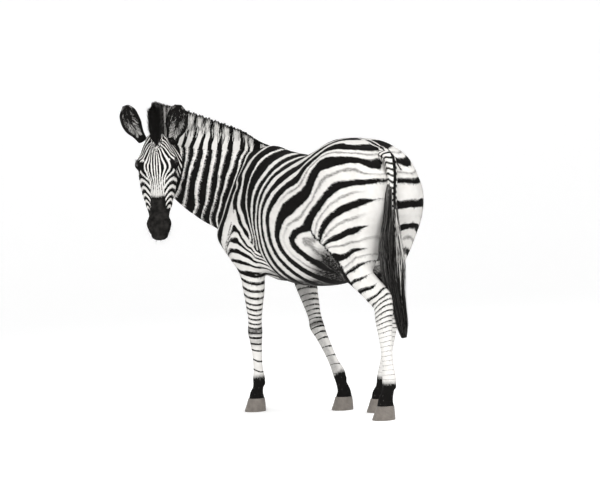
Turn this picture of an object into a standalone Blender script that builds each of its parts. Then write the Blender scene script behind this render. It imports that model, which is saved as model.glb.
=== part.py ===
"""A life-size standing plains zebra that looks back over its left side.

Metres, +Z up. It stands along Y with its hindquarters towards +Y and its left side towards +X.
The flesh is one blended form, made from muscle and bone masses that sweep along smooth lines, and
is parted with thin cuts into the pieces a person would name.
"""
import math

import bmesh
import bpy
import numpy as np
from mathutils import Matrix, Vector

# ------------------------------------------------------------------ driving dimensions
GAP = 0.0003                 # between touching pieces
CELL = 0.0115                # grid step of the flesh's surface
FINE_CELL = 0.0055           # grid step of ears, mane and tail
FLESH_TRIANGLES = 4100
CORONET_HEIGHT = 0.066       # where hair ends and hoof begins
TUFT_TOP = 0.860             # where the tail's long hair begins
EYE_RADIUS = 0.0235
EYE_STANDOUT = 0.0050        # how far the eyeball passes the flesh around it
SADDLE_CUT = 0.165           # where the forequarters end and the barrel begins, along Y
LOIN_CUT = 0.500             # where the barrel ends and the haunches begin, along Y
FOREARM_CUT = 0.30           # share of the way from elbow to knee
GASKIN_CUT = 0.62            # share of the way from stifle to hock
KNEE_CUT = 0.055             # how far below the knee the fore cannon begins
HOCK_CUT = 0.075             # how far below the hock the hind cannon begins
EAR_TRIANGLES = 300
MANE_TRIANGLES = 340
DOCK_TRIANGLES = 170
TUFT_TRIANGLES = 200

# The head looks this way in plan; it hangs with its nose towards what it looks at.
FACE_YAW = math.radians(52.0)
FACE_TILT = math.radians(24.0)
POLL = np.array((0.488, -0.272, 1.385))

UP = np.array((0.0, 0.0, 1.0))
DOWN = -UP
AHEAD = np.array((0.0, -1.0, 0.0))
FACE = np.array((math.cos(FACE_YAW), math.sin(FACE_YAW), 0.0))
NOSE = FACE * math.sin(FACE_TILT) - UP * math.cos(FACE_TILT)
BROW = FACE * math.cos(FACE_TILT) + UP * math.sin(FACE_TILT)
FACE_LEFT = np.cross(BROW, NOSE)
FACE_ACROSS = np.cross(UP, FACE)

# Each ear's foot on the head (down the nose, out of the brow, to the left), its outward lean, and
# its breadth as a share of the usual one.
EAR_BASE = {1: (0.004, -0.085, 0.066), -1: (-0.018, -0.085, -0.072)}
EAR_LEAN = {1: 0.27, -1: 0.42}
EAR_BREADTH = {1: 1.12, -1: 1.02}

# Joint centres of each leg. The withers stand over the origin of these places.
FORE_LEFT = {"side": 1, "shoulder": (0.145, -0.150, 0.88), "elbow": (0.162, 0.030, 0.70),
             "carpus": (0.128, -0.028, 0.395), "fetlock": (0.124, -0.026, 0.150), "hoof": (0.124, -0.058)}
FORE_RIGHT = {"side": -1, "shoulder": (-0.145, -0.130, 0.88), "elbow": (-0.150, 0.020, 0.70),
              "carpus": (-0.120, 0.150, 0.405), "fetlock": (-0.110, 0.318, 0.165), "hoof": (-0.110, 0.335)}
HIND_LEFT = {"side": 1, "hip": (0.115, 0.700, 1.09), "stifle": (0.165, 0.610, 0.80),
             "hock": (0.125, 0.945, 0.525), "fetlock": (0.118, 0.950, 0.165), "hoof": (0.118, 0.910)}
HIND_RIGHT = {"side": -1, "hip": (-0.115, 0.670, 1.09), "stifle": (-0.165, 0.480, 0.79),
              "hock": (-0.125, 0.718, 0.500), "fetlock": (-0.110, 0.640, 0.155), "hoof": (-0.110, 0.600)}

COAT_WHITE = (0.83, 0.81, 0.77, 1.0)
HAIR_BLACK = (0.035, 0.033, 0.032, 1.0)
SKIN_BLACK = (0.050, 0.047, 0.045, 1.0)
HORN_GREY = (0.16, 0.145, 0.13, 1.0)
EYE_BROWN = (0.030, 0.018, 0.012, 1.0)


# ------------------------------------------------------------------ small vector helpers
def vec(*values):
    return np.array(values, float)


def unit(v):
    v = np.asarray(v, float)
    return v / np.maximum(np.linalg.norm(v, axis=-1, keepdims=True), 1e-12)


def mix(a, b, t):
    return np.asarray(a, float) * (1 - t) + np.asarray(b, float) * t


def station(place, *sizes):
    """One row of a sweep: a place, then half-width, depth in front, depth behind and roundness."""
    return (*np.asarray(place, float), *sizes)


def head_point(along, out, side=0.0):
    """A place in the head's own frame: down the nose, out of the brow, to its left."""
    return POLL + along * NOSE + out * BROW + side * FACE_LEFT


def facing_point(across, ahead, height):
    """A place by its distance across and along the way the face looks."""
    return across * FACE_ACROSS + ahead * FACE + height * UP


# ------------------------------------------------------------------ the blended form
def smooth_curve(knots, rows, at):
    """A smooth curve through the rows at the knots, read at the given values."""
    slope = np.gradient(rows, knots, axis=0)
    i = np.clip(np.searchsorted(knots, at, side="right") - 1, 0, len(knots) - 2)
    span = (knots[i + 1] - knots[i])[:, None]
    t = (at - knots[i])[:, None] / span
    start = (2 * t**3 - 3 * t**2 + 1) * rows[i] + (t**3 - 2 * t**2 + t) * slope[i] * span
    end = (3 * t**2 - 2 * t**3) * rows[i + 1] + (t**3 - t**2) * slope[i + 1] * span
    return start + end


class Sweep:
    """A rounded mass along a smooth line, with its own width and depths at each station."""

    def __init__(self, stations, front, cap, blend, power=2.1, pinch=0.0, keel=0.0, steps=5):
        rows = np.array([row if len(row) == 7 else (*row, power) for row in stations], float)
        gaps = np.linalg.norm(np.diff(rows[:, :3], axis=0), axis=1)
        knots = np.concatenate([[0.0], np.cumsum(gaps)])
        pieces = [np.linspace(a, b, steps + 1) for a, b in zip(knots, knots[1:])]
        self.at = np.unique(np.concatenate(pieces))
        fine = smooth_curve(knots, rows, self.at)
        self.line = fine[:, :3]
        self.size = np.maximum(fine[:, 3:6], 1e-3)
        self.power = fine[:, 6]
        self.tangent = unit(np.gradient(self.line, self.at, axis=0))
        front = np.broadcast_to(np.asarray(front, float), self.line.shape)
        self.front = unit(front - (front * self.tangent).sum(1, keepdims=True) * self.tangent)
        self.side = np.cross(self.front, self.tangent)
        self.cap = cap
        self.blend = blend
        self.pinch = pinch
        self.keel = keel
        reach = self.size.max() + max(cap)
        self.low = self.line.min(0) - reach
        self.high = self.line.max(0) + reach

    def distance(self, p):
        """About the distance from each point to the surface, negative inside."""
        best = np.full(len(p), np.inf)
        i = np.zeros(len(p), int)
        t = np.zeros(len(p))
        for k in range(len(self.line) - 1):
            a = self.line[k]
            d = self.line[k + 1] - a
            share = np.clip((p - a) @ d / (d @ d), 0, 1)
            gap = ((p - a - share[:, None] * d) ** 2).sum(1)
            near = gap < best
            best[near] = gap[near]
            i[near] = k
            t[near] = share[near]

        def along(values):
            w = t if values.ndim == 1 else t[:, None]
            return values[i] * (1 - w) + values[i + 1] * w

        q = p - along(self.line)
        across = (q * unit(along(self.side))).sum(1) + 1e-7
        depth = (q * unit(along(self.front))).sum(1)
        length = (q * unit(along(self.tangent))).sum(1)
        size = along(self.size)
        power = along(self.power)
        v = np.abs(depth) / np.where(depth > 0, size[:, 1], size[:, 2])
        taper = np.where(depth > 0, self.pinch, self.keel) * np.clip(v, 0, 1.2) ** 2 * 0.8
        u = np.abs(across) / (size[:, 0] * (1 - taper))
        cap = np.where(along(self.at) < self.at[-1] / 2, self.cap[0], self.cap[1])
        r = (u**power + v**power + (np.abs(length) / cap) ** power) ** (1 / power)
        return (np.linalg.norm(q, axis=1) + 1e-7) * (1 - 1 / r)


class Cup:
    """A sweep hollowed by another."""

    def __init__(self, outer, hollow):
        self.outer = outer
        self.hollow = hollow
        self.blend = outer.blend
        self.low = outer.low
        self.high = outer.high

    def distance(self, p):
        return -smooth_min(-self.outer.distance(p), self.hollow.distance(p), 0.004)


def smooth_min(a, b, k):
    h = np.clip(0.5 + 0.5 * (b - a) / k, 0, 1)
    return b * (1 - h) + a * h - k * h * (1 - h)


def blended(masses, p):
    """The joined distance of all masses at the points p."""
    out = np.full(len(p), 1.0)
    for mass in masses:
        margin = mass.blend + 0.06
        near = np.flatnonzero(((p > mass.low - margin) & (p < mass.high + margin)).all(1))
        if len(near):
            out[near] = smooth_min(out[near], mass.distance(p[near]), mass.blend)
    return out


def sampled(masses, cell, coarse=4):
    """The joined distance on a grid, worked out finely only where the surface can lie."""
    low = np.min([m.low for m in masses], axis=0) - 2 * cell
    high = np.max([m.high for m in masses], axis=0) + 2 * cell
    count = (np.ceil((high - low) / (cell * coarse)).astype(int) + 1) * coarse + 1
    axes = [low[e] + cell * np.arange(count[e]) for e in range(3)]
    rough_axes = [a[::coarse] for a in axes]
    rough_points = np.stack(np.meshgrid(*rough_axes, indexing="ij"), -1).reshape(-1, 3)
    grid = blended(masses, rough_points).reshape([len(a) for a in rough_axes])
    for e in range(3):
        x = np.arange((grid.shape[e] - 1) * coarse + 1) / coarse
        i = np.minimum(x.astype(int), grid.shape[e] - 2)
        t = (x - i).reshape([-1 if k == e else 1 for k in range(3)])
        grid = np.take(grid, i, e) * (1 - t) + np.take(grid, i + 1, e) * t
    band = np.argwhere(np.abs(grid) < cell * coarse * 0.9)
    grid[tuple(band.T)] = blended(masses, np.stack([axes[e][band[:, e]] for e in range(3)], 1))
    for _ in range(2):
        grid = softened(grid)
    return axes, grid


def softened(grid):
    """The grid with each value drawn half-way to the mean of its neighbours."""
    out = grid.copy()
    core = out[1:-1, 1:-1, 1:-1]
    core *= 0.5
    for e in range(3):
        for step in (0, 2):
            window = [slice(1, -1)] * 3
            window[e] = slice(step, grid.shape[e] - 2 + step)
            core += grid[tuple(window)] / 12
    return out


def without_touching_corners(grid):
    """Fill the places where two filled cells would meet only along an edge."""
    for _ in range(6):
        found = 0
        for e, f in ((0, 1), (0, 2), (1, 2)):
            views = []
            for a, b in ((0, 0), (1, 0), (0, 1), (1, 1)):
                window = [slice(None)] * 3
                window[e] = slice(a, grid.shape[e] - 1 + a)
                window[f] = slice(b, grid.shape[f] - 1 + b)
                views.append(grid[tuple(window)])
            inside = [view < 0 for view in views]
            crossed = (inside[0] == inside[3]) & (inside[1] == inside[2]) & (inside[0] != inside[1])
            found += crossed.sum()
            for view in views:
                view[crossed & (view >= 0)] = -1e-4
        if not found:
            break
    return grid


def surface(masses, cell):
    """Vertices and outward quads where the joined distance changes sign."""
    axes, grid = sampled(masses, cell)
    grid = without_touching_corners(grid)
    inside = grid < 0
    shape = np.array(grid.shape)
    corners = [(i, j, k) for i in (0, 1) for j in (0, 1) for k in (0, 1)]
    filled = np.zeros(shape - 1, np.int8)
    for i, j, k in corners:
        filled += inside[i:shape[0] - 1 + i, j:shape[1] - 1 + j, k:shape[2] - 1 + k]
    mixed = (filled > 0) & (filled < 8)
    cells = np.argwhere(mixed)
    number = np.full(mixed.shape, -1)
    number[mixed] = np.arange(len(cells))
    total = np.zeros((len(cells), 3))
    hits = np.zeros(len(cells))
    for corner in corners:
        for axis in range(3):
            if corner[axis]:
                continue
            step = np.eye(3)[axis]
            other = np.array(corner) + step.astype(int)
            a = grid[tuple((cells + corner).T)]
            b = grid[tuple((cells + other).T)]
            crosses = (a < 0) != (b < 0)
            t = np.where(crosses, a / np.where(crosses, a - b, 1), 0)
            place = np.array(corner, float) + t[:, None] * step
            total[crosses] += place[crosses]
            hits[crosses] += 1
    points = np.array([a[0] for a in axes]) + (cells + total / hits[:, None]) * cell
    quads = []
    for axis in range(3):
        first, second = [e for e in range(3) if e != axis]
        here = [slice(1, -1)] * 3
        here[axis] = slice(0, -1)
        beyond = list(here)
        beyond[axis] = slice(1, None)
        a = inside[tuple(here)]
        b = inside[tuple(beyond)]
        for change, flip in ((a & ~b, axis == 1), (~a & b, axis != 1)):
            at = np.argwhere(change) + 1
            at[:, axis] -= 1
            ring = []
            for d1, d2 in ((-1, -1), (0, -1), (0, 0), (-1, 0)):
                c = at.copy()
                c[:, first] += d1
                c[:, second] += d2
                ring.append(number[tuple(c.T)])
            ring = np.stack(ring, 1)
            quads.append(ring[:, ::-1] if flip else ring)
    return points, np.concatenate(quads)


# ------------------------------------------------------------------ masses of the body
def trunk_masses():
    barrel = Sweep([
        (0, -0.170, 0.960, 0.105, 0.170, 0.160, 2.10),
        (0, -0.095, 0.960, 0.160, 0.255, 0.240, 2.10),
        (0, 0.000, 0.970, 0.205, 0.320, 0.312, 2.10),
        (0, 0.160, 0.975, 0.248, 0.345, 0.292, 2.20),
        (0, 0.320, 0.970, 0.282, 0.362, 0.272, 2.25),
        (0, 0.480, 0.985, 0.286, 0.365, 0.280, 2.25),
        (0, 0.620, 1.010, 0.262, 0.320, 0.306, 2.20),
        (0, 0.740, 1.040, 0.225, 0.240, 0.272, 2.10),
        (0, 0.840, 1.060, 0.150, 0.160, 0.200, 2.10)], DOWN, (0.07, 0.06), 0.05, keel=0.35, pinch=0.12, steps=8)
    breast = [Sweep([
        (s * 0.050, -0.200, 0.900, 0.060, 0.050, 0.070),
        (s * 0.060, -0.160, 0.825, 0.066, 0.055, 0.080),
        (s * 0.055, -0.080, 0.745, 0.060, 0.055, 0.060)], (0, -1, -0.3), (0.05, 0.05), 0.09) for s in (1, -1)]
    return [barrel] + breast


def neck_masses():
    return [Sweep([
        (0.000, 0.060, 1.020, 0.100, 0.220, 0.220),
        (0.008, -0.052, 1.060, 0.118, 0.270, 0.225),
        station(facing_point(-0.141, -0.114, 1.105), 0.108, 0.255, 0.198),
        station(facing_point(-0.284, -0.165, 1.148), 0.089, 0.212, 0.172),
        station(facing_point(-0.415, -0.155, 1.200), 0.075, 0.158, 0.142),
        station(facing_point(-0.500, -0.098, 1.245), 0.070, 0.122, 0.118),
        station(facing_point(-0.545, -0.020, 1.278), 0.064, 0.092, 0.095)],
        DOWN, (0.10, 0.04), 0.09, keel=0.45, pinch=0.20, steps=8)]


def head_masses():
    def row(along, out, half_width, front, back, power=2.2):
        return station(head_point(along, out), half_width, front, back, power)

    masses = [Sweep([
        row(0.000, -0.075, 0.058, 0.058, 0.060),
        row(0.045, -0.078, 0.076, 0.076, 0.075, 2.3),
        row(0.100, -0.080, 0.086, 0.084, 0.080, 2.4),
        row(0.150, -0.082, 0.090, 0.084, 0.088, 2.5),
        row(0.210, -0.084, 0.084, 0.076, 0.088, 2.4),
        row(0.280, -0.086, 0.073, 0.066, 0.080, 2.3),
        row(0.345, -0.088, 0.060, 0.060, 0.064),
        row(0.390, -0.090, 0.050, 0.056, 0.054),
        row(0.430, -0.093, 0.052, 0.055, 0.048, 2.3),
        row(0.465, -0.097, 0.052, 0.049, 0.046, 2.3),
        row(0.488, -0.102, 0.042, 0.038, 0.040)], BROW, (0.04, 0.028), 0.02)]
    for s in (1, -1):
        jaw = [(0.070, -0.150, 0.045, 0.030, 0.050, 0.050), (0.140, -0.165, 0.048, 0.030, 0.050, 0.052),
               (0.220, -0.152, 0.042, 0.026, 0.050, 0.045), (0.320, -0.128, 0.030, 0.020, 0.040, 0.028)]
        orbit = [(0.098, -0.052, 0.074, 0.016, 0.012, 0.018), (0.128, -0.040, 0.082, 0.016, 0.013, 0.018),
                 (0.162, -0.052, 0.076, 0.015, 0.012, 0.018)]
        cheekbone = [(0.170, -0.092, 0.078, 0.014, 0.015, 0.016), (0.225, -0.092, 0.074, 0.012, 0.012, 0.012),
                     (0.280, -0.092, 0.062, 0.010, 0.010, 0.010)]
        nostril = [(0.420, -0.062, 0.036, 0.014, 0.016, 0.018), (0.445, -0.062, 0.046, 0.015, 0.016, 0.020),
                   (0.468, -0.072, 0.040, 0.013, 0.014, 0.018)]
        for rows, blend in ((jaw, 0.040), (orbit, 0.020), (cheekbone, 0.022), (nostril, 0.016)):
            line = [station(head_point(a, o, s * w), *sizes) for a, o, w, *sizes in rows]
            masses.append(Sweep(line, BROW, (0.020, 0.018), blend))
    nasal = [row(0.120, -0.026, 0.036, 0.022, 0.020), row(0.240, -0.034, 0.028, 0.020, 0.020),
             row(0.400, -0.052, 0.022, 0.018, 0.020)]
    chin = [row(0.445, -0.130, 0.026, 0.020, 0.018), row(0.478, -0.128, 0.030, 0.020, 0.020)]
    masses.append(Sweep(nasal, BROW, (0.03, 0.02), 0.025))
    masses.append(Sweep(chin, BROW, (0.02, 0.018), 0.012))
    return masses


def foreleg_masses(side, shoulder, elbow, carpus, fetlock, hoof):
    a, e, c, f = (vec(*p) for p in (shoulder, elbow, carpus, fetlock))
    x, y = hoof
    arm = unit(c - e)
    cannon = unit(f - c)
    pastern = unit(vec(x, y + 0.008, 0.075) - f)
    blade = Sweep([
        (side * 0.050, 0.030, 1.170, 0.045, 0.060, 0.070), (side * 0.095, -0.020, 1.070, 0.070, 0.100, 0.100),
        (side * 0.120, -0.080, 0.970, 0.078, 0.090, 0.110), station(a, 0.068, 0.070, 0.090)],
        (0, -1, -0.4), (0.06, 0.05), 0.10)
    upper_arm = Sweep([
        station(a + (0, 0.02, 0), 0.066, 0.070, 0.100),
        station(mix(a, e, 0.5) + (0, 0, 0.015), 0.074, 0.080, 0.120),
        station(e + (-side * 0.005, -0.01, 0.01), 0.062, 0.074, 0.080)], (0, -1, -0.3), (0.04, 0.03), 0.08)
    leg = Sweep([
        station(e + (0, -0.012, 0.03), 0.058, 0.070, 0.068),
        station(mix(e, c, 0.28), 0.052, 0.066, 0.058),
        station(mix(e, c, 0.60), 0.040, 0.047, 0.043),
        station(c - arm * 0.050, 0.032, 0.035, 0.035),
        station(c, 0.036, 0.037, 0.034),
        station(c + cannon * 0.050, 0.029, 0.031, 0.031),
        station(mix(c, f, 0.45), 0.023, 0.024, 0.030),
        station(mix(c, f, 0.76), 0.022, 0.024, 0.029),
        station(f - cannon * 0.012, 0.028, 0.029, 0.037),
        station(f + pastern * 0.040, 0.025, 0.027, 0.030),
        (x, y + 0.010, 0.085, 0.032, 0.037, 0.037),
        (x, y + 0.008, 0.060, 0.037, 0.044, 0.041)], AHEAD, (0.04, 0.012), 0.022)
    return [blade, upper_arm, leg]


def hindleg_masses(side, hip, stifle, hock, fetlock, hoof):
    h, k, j, f = (vec(*p) for p in (hip, stifle, hock, fetlock))
    x, y = hoof
    cannon = unit(f - j)
    pastern = unit(vec(x, y + 0.008, 0.075) - f)
    croup = Sweep([
        (side * 0.085, 0.500, 1.120, 0.050, 0.060, 0.075), (side * 0.102, 0.600, 1.112, 0.098, 0.130, 0.134),
        (side * 0.110, 0.700, 1.108, 0.118, 0.170, 0.168), (side * 0.108, 0.790, 1.083, 0.112, 0.170, 0.152),
        (side * 0.098, 0.870, 1.036, 0.082, 0.120, 0.115)], (0, -0.2, -1), (0.12, 0.05), 0.11, keel=0.30)
    thigh = Sweep([
        station(h, 0.105, 0.140, 0.140),
        station(mix(h, k, 0.5) + (side * 0.012, 0.02, 0.02), 0.100, 0.150, 0.140),
        station(k + (0, 0.035, 0.02), 0.072, 0.082, 0.100),
        station(k + (-side * 0.005, 0.080, -0.05), 0.058, 0.066, 0.088)], AHEAD, (0.05, 0.04), 0.08)
    flank_fold = Sweep([
        station(k + (side * 0.005, 0, 0.05), 0.040, 0.050, 0.060),
        station(k + (side * 0.022, -0.075, 0.075), 0.020, 0.035, 0.050),
        station(k + (side * 0.030, -0.150, 0.110), 0.012, 0.020, 0.030)], DOWN, (0.03, 0.03), 0.07)
    hamstrings = Sweep([
        (side * 0.085, 0.880, 1.090, 0.060, 0.070, 0.045), (side * 0.105, 0.878, 1.000, 0.085, 0.120, 0.066),
        station(mix((side * 0.110, 0.868, 0.90), mix(k, j, 0.45), 0.25), 0.088, 0.120, 0.070),
        station(mix((side * 0.115, 0.868, 0.86), mix(k, j, 0.5) + (0, 0.03, 0), 0.62), 0.066, 0.085, 0.060),
        station(mix(k, j, 0.50) + (0, 0.020, 0.01), 0.052, 0.065, 0.056)], AHEAD, (0.04, 0.03), 0.06)
    leg = Sweep([
        station(k + (0, 0.06, -0.02), 0.064, 0.072, 0.090),
        station(mix(k, j, 0.30) + (0, 0.012, 0.010), 0.060, 0.067, 0.084),
        station(mix(k, j, 0.58) + (0, 0.006, 0.008), 0.048, 0.052, 0.062),
        station(mix(k, j, 0.82) + (0, 0, 0.004), 0.038, 0.045, 0.047),
        station(j, 0.038, 0.052, 0.046),
        station(j + cannon * 0.060, 0.036, 0.047, 0.042),
        station(j + cannon * 0.135, 0.029, 0.036, 0.037),
        station(mix(j, f, 0.72), 0.023, 0.025, 0.032),
        station(f - cannon * 0.015, 0.029, 0.031, 0.039),
        station(f + pastern * 0.040, 0.026, 0.028, 0.031),
        (x, y + 0.010, 0.085, 0.033, 0.038, 0.038),
        (x, y + 0.008, 0.060, 0.037, 0.043, 0.041)], AHEAD, (0.04, 0.012), 0.022)
    tendon = Sweep([
        station(mix(k, j, 0.50) + (0, 0.050, 0.045), 0.028, 0.040, 0.020),
        station(mix(k, j, 0.78) + (0, 0.048, 0.050), 0.018, 0.030, 0.018),
        station(j + (0, 0.038, 0.042), 0.020, 0.028, 0.018),
        station(j + (0, 0.030, -0.02), 0.018, 0.024, 0.016)], AHEAD, (0.03, 0.02), 0.03)
    return [croup, thigh, flank_fold, hamstrings, leg, tendon]


def flesh_masses():
    masses = trunk_masses() + neck_masses()
    masses += foreleg_masses(**FORE_LEFT) + foreleg_masses(**FORE_RIGHT)
    masses += hindleg_masses(**HIND_LEFT) + hindleg_masses(**HIND_RIGHT)
    return masses + head_masses()


def dock_masses():
    return [Sweep([
        (0.000, 0.840, 1.205, 0.034, 0.034, 0.034),
        (0.010, 0.905, 1.195, 0.031, 0.031, 0.031),
        (0.030, 0.945, 1.130, 0.028, 0.026, 0.026),
        (0.050, 0.960, 1.030, 0.026, 0.024, 0.024),
        (0.060, 0.966, 0.930, 0.026, 0.024, 0.024),
        (0.066, 0.970, 0.840, 0.028, 0.025, 0.025)], (0, 1, 0.2), (0.03, 0.02), 0.025)]


def tuft_masses():
    return [Sweep([
        (0.066, 0.970, 0.885, 0.028, 0.025, 0.025),
        (0.074, 0.972, 0.790, 0.036, 0.034, 0.032),
        (0.080, 0.976, 0.700, 0.044, 0.038, 0.034),
        (0.070, 0.980, 0.600, 0.037, 0.034, 0.030),
        (0.056, 0.983, 0.500, 0.027, 0.027, 0.025),
        (0.050, 0.985, 0.425, 0.020, 0.019, 0.019),
        (0.042, 0.985, 0.366, 0.009, 0.009, 0.009)], (0, 1, 0.2), (0.02, 0.01), 0.02)]


def mane_masses():
    return [Sweep([
        (0.000, 0.030, 1.268, 0.010, 0.020, 0.022),
        (0.012, -0.070, 1.278, 0.014, 0.030, 0.050),
        station(facing_point(-0.138, -0.112, 1.290), 0.017, 0.030, 0.096),
        station(facing_point(-0.272, -0.160, 1.310), 0.019, 0.030, 0.132),
        station(facing_point(-0.400, -0.150, 1.335), 0.020, 0.030, 0.157),
        station(facing_point(-0.480, -0.102, 1.355), 0.021, 0.030, 0.168),
        station(facing_point(-0.532, -0.030, 1.370), 0.023, 0.030, 0.170),
        station(facing_point(-0.552, 0.050, 1.378), 0.025, 0.030, 0.165),
        station(facing_point(-0.553, 0.098, 1.368), 0.027, 0.040, 0.155)],
        DOWN, (0.01, 0.02), 0.01, power=2.3, keel=0.3)]


def ear_masses(side):
    """A leaf-shaped cup that opens towards what the head looks at."""
    outward = FACE_LEFT * side
    base = head_point(*EAR_BASE[side])
    rise = unit(UP * 0.93 + outward * EAR_LEAN[side])
    opening = unit(FACE + outward * 0.15)
    shell = []
    hollow = []
    for height, half_width, depth, lean in (
            (0.000, 0.024, 0.024, 0.000), (0.030, 0.030, 0.024, 0.004), (0.075, 0.047, 0.022, 0.010),
            (0.120, 0.049, 0.016, 0.008), (0.160, 0.040, 0.010, 0.000), (0.186, 0.021, 0.005, -0.004)):
        half_width *= EAR_BREADTH[side]
        place = base + rise * height + outward * lean
        shell.append(station(place, half_width, depth, depth))
        if height > 0.02:
            inner = place + rise * 0.004 + opening * (0.012 + depth * 0.55)
            hollow.append(station(inner, max(half_width - 0.008, 0.004), depth + 0.008, depth + 0.002))
    outer = Sweep(shell, opening, (0.010, 0.006), 0.008)
    return [Cup(outer, Sweep(hollow, opening, (0.030, 0.004), 0.008))]


# ------------------------------------------------------------------ Blender objects
def make_object(name, points, faces):
    mesh = bpy.data.meshes.new(name)
    mesh.from_pydata([tuple(p) for p in points], [], [tuple(f) for f in faces])
    mesh.update()
    obj = bpy.data.objects.new(name, mesh)
    bpy.context.scene.collection.objects.link(obj)
    return obj


def discard(obj):
    bpy.data.objects.remove(obj, do_unlink=True)


def bake_modifiers(obj):
    """Make the object's mesh what its modifiers give."""
    graph = bpy.context.evaluated_depsgraph_get()
    mesh = bpy.data.meshes.new_from_object(obj.evaluated_get(graph))
    obj.modifiers.clear()
    obj.data = mesh


def thinned(obj, triangles):
    """Fewer triangles, gathered where the form turns."""
    tri = obj.modifiers.new("triangles", "TRIANGULATE")
    tri.quad_method = "BEAUTY"
    thin = obj.modifiers.new("thin", "DECIMATE")
    quads = len(obj.data.polygons)
    thin.ratio = min(1.0, triangles / (2 * quads))
    bake_modifiers(obj)
    return obj


def cut(obj, cutter, keep_cutter=False):
    """Take the cutter's space out of the object."""
    cutter.hide_render = True
    cutter.display_type = "WIRE"
    modifier = obj.modifiers.new("cut", "BOOLEAN")
    modifier.operation = "DIFFERENCE"
    modifier.solver = "EXACT"
    modifier.object = cutter
    bake_modifiers(obj)
    if not keep_cutter:
        discard(cutter)


def grown(obj, name, by):
    """A copy of a solid whose surface is moved outwards."""
    mesh = obj.data.copy()
    normals = np.zeros(len(mesh.vertices) * 3)
    places = np.zeros(len(mesh.vertices) * 3)
    mesh.vertex_normals.foreach_get("vector", normals)
    mesh.vertices.foreach_get("co", places)
    mesh.vertices.foreach_set("co", places + normals * by)
    copy = bpy.data.objects.new(name, mesh)
    bpy.context.scene.collection.objects.link(copy)
    return copy


def box_object(name, boxes):
    """Boxes given as centre, three axes and three half sizes, joined in one object."""
    points = []
    faces = []
    for centre, axes, half in boxes:
        first = len(points)
        for i in (-1, 1):
            for j in (-1, 1):
                for k in (-1, 1):
                    offset = axes[0] * half[0] * i + axes[1] * half[1] * j + axes[2] * half[2] * k
                    points.append(centre + offset)
        for ring in ((0, 1, 3, 2), (4, 6, 7, 5), (0, 4, 5, 1), (2, 3, 7, 6), (0, 2, 6, 4), (1, 5, 7, 3)):
            faces.append([first + n for n in ring])
    return make_object(name, points, faces)


def slab(centre, normal, hint, half_across, half_along):
    """A cut as thin as the gap: its plane holds the hint direction and one at right angles to it."""
    normal = unit(normal)
    across = unit(np.cross(normal, hint))
    along = np.cross(across, normal)
    return (np.asarray(centre, float), (across, along, np.cross(across, along)), (half_across, half_along, GAP / 2))


def upright_box(low, high):
    low = np.asarray(low, float)
    high = np.asarray(high, float)
    return ((low + high) / 2, tuple(np.eye(3)), tuple((high - low) / 2))


def loose_pieces(obj):
    """Split an object into one object for each connected piece."""
    bm = bmesh.new()
    bm.from_mesh(obj.data)
    bm.verts.ensure_lookup_table()
    piece = np.full(len(bm.verts), -1)
    count = 0
    for start in bm.verts:
        if piece[start.index] >= 0:
            continue
        piece[start.index] = count
        front = [start]
        while front:
            vertex = front.pop()
            for edge in vertex.link_edges:
                other = edge.other_vert(vertex)
                if piece[other.index] < 0:
                    piece[other.index] = count
                    front.append(other)
        count += 1
    places = np.array([v.co for v in bm.verts])
    faces = [[v.index for v in f.verts] for f in bm.faces]
    bm.free()
    out = []
    for n in range(count):
        own = np.flatnonzero(piece == n)
        renumber = {old: new for new, old in enumerate(own)}
        own_faces = [[renumber[i] for i in f] for f in faces if piece[f[0]] == n]
        out.append(make_object("piece", places[own], own_faces))
    discard(obj)
    return out


def name_pieces(pieces, centres):
    """Give each piece the name whose expected centre lies nearest to its own."""
    named = {}
    for obj in pieces:
        middle = np.mean([obj.matrix_world @ v.co for v in obj.data.vertices], axis=0)
        name = min(centres, key=lambda key: np.linalg.norm(middle - centres[key]))
        if name in named:
            raise ValueError("two pieces would be named " + name)
        obj.name = name
        named[name] = obj
    missing = set(centres) - set(named)
    if missing:
        raise ValueError("no piece found for " + ", ".join(sorted(missing)))
    return named


def eyeball(name, side):
    """A ball set so that it stands a little out of the flesh beside the brow."""
    look = unit(BROW * 0.60 + FACE_LEFT * side * 0.78)
    start = head_point(0.134, -0.075, side * 0.045)
    reach = np.linspace(0, 0.09, 400)
    field = blended(head_masses(), start + reach[:, None] * look)
    surface_at = reach[np.argmax(field > 0)]
    centre = start + look * (surface_at + EYE_STANDOUT - EYE_RADIUS)
    mesh = bpy.data.meshes.new(name)
    bm = bmesh.new()
    turn = Vector((0, 0, 1)).rotation_difference(Vector(look)).to_matrix().to_4x4()
    bmesh.ops.create_uvsphere(bm, u_segments=14, v_segments=8, radius=EYE_RADIUS,
                              matrix=Matrix.Translation(centre) @ turn)
    bm.to_mesh(mesh)
    bm.free()
    obj = bpy.data.objects.new(name, mesh)
    bpy.context.scene.collection.objects.link(obj)
    return obj


def hoof_object(name, x, y, segments=18):
    """A hoof: flat sole at floor level, sloping toe, steeper heel, level top at the coronet."""
    rows = ((0.000, 0.0490, 0.0630, 0.0480, -0.004), (0.004, 0.0500, 0.0640, 0.0490, -0.004),
            (0.035, 0.0445, 0.0540, 0.0460, 0.003), (CORONET_HEIGHT - GAP, 0.0390, 0.0450, 0.0420, 0.008))
    points = []
    for z, half_width, toe, heel, shift in rows:
        for n in range(segments):
            angle = 2 * math.pi * n / segments
            c = math.cos(angle)
            s = math.sin(angle)
            depth = -toe * s if s > 0 else -heel * s
            points.append((x + half_width * math.copysign(abs(c) ** 0.92, c), y + shift + depth, z))
    faces = [list(range(segments))]
    for k in range(len(rows) - 1):
        for n in range(segments):
            m = (n + 1) % segments
            a = k * segments
            b = a + segments
            faces.append([a + m, a + n, b + n, b + m])
    faces.append([(len(rows) - 1) * segments + n for n in reversed(range(segments))])
    return make_object(name, points, faces)


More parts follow.
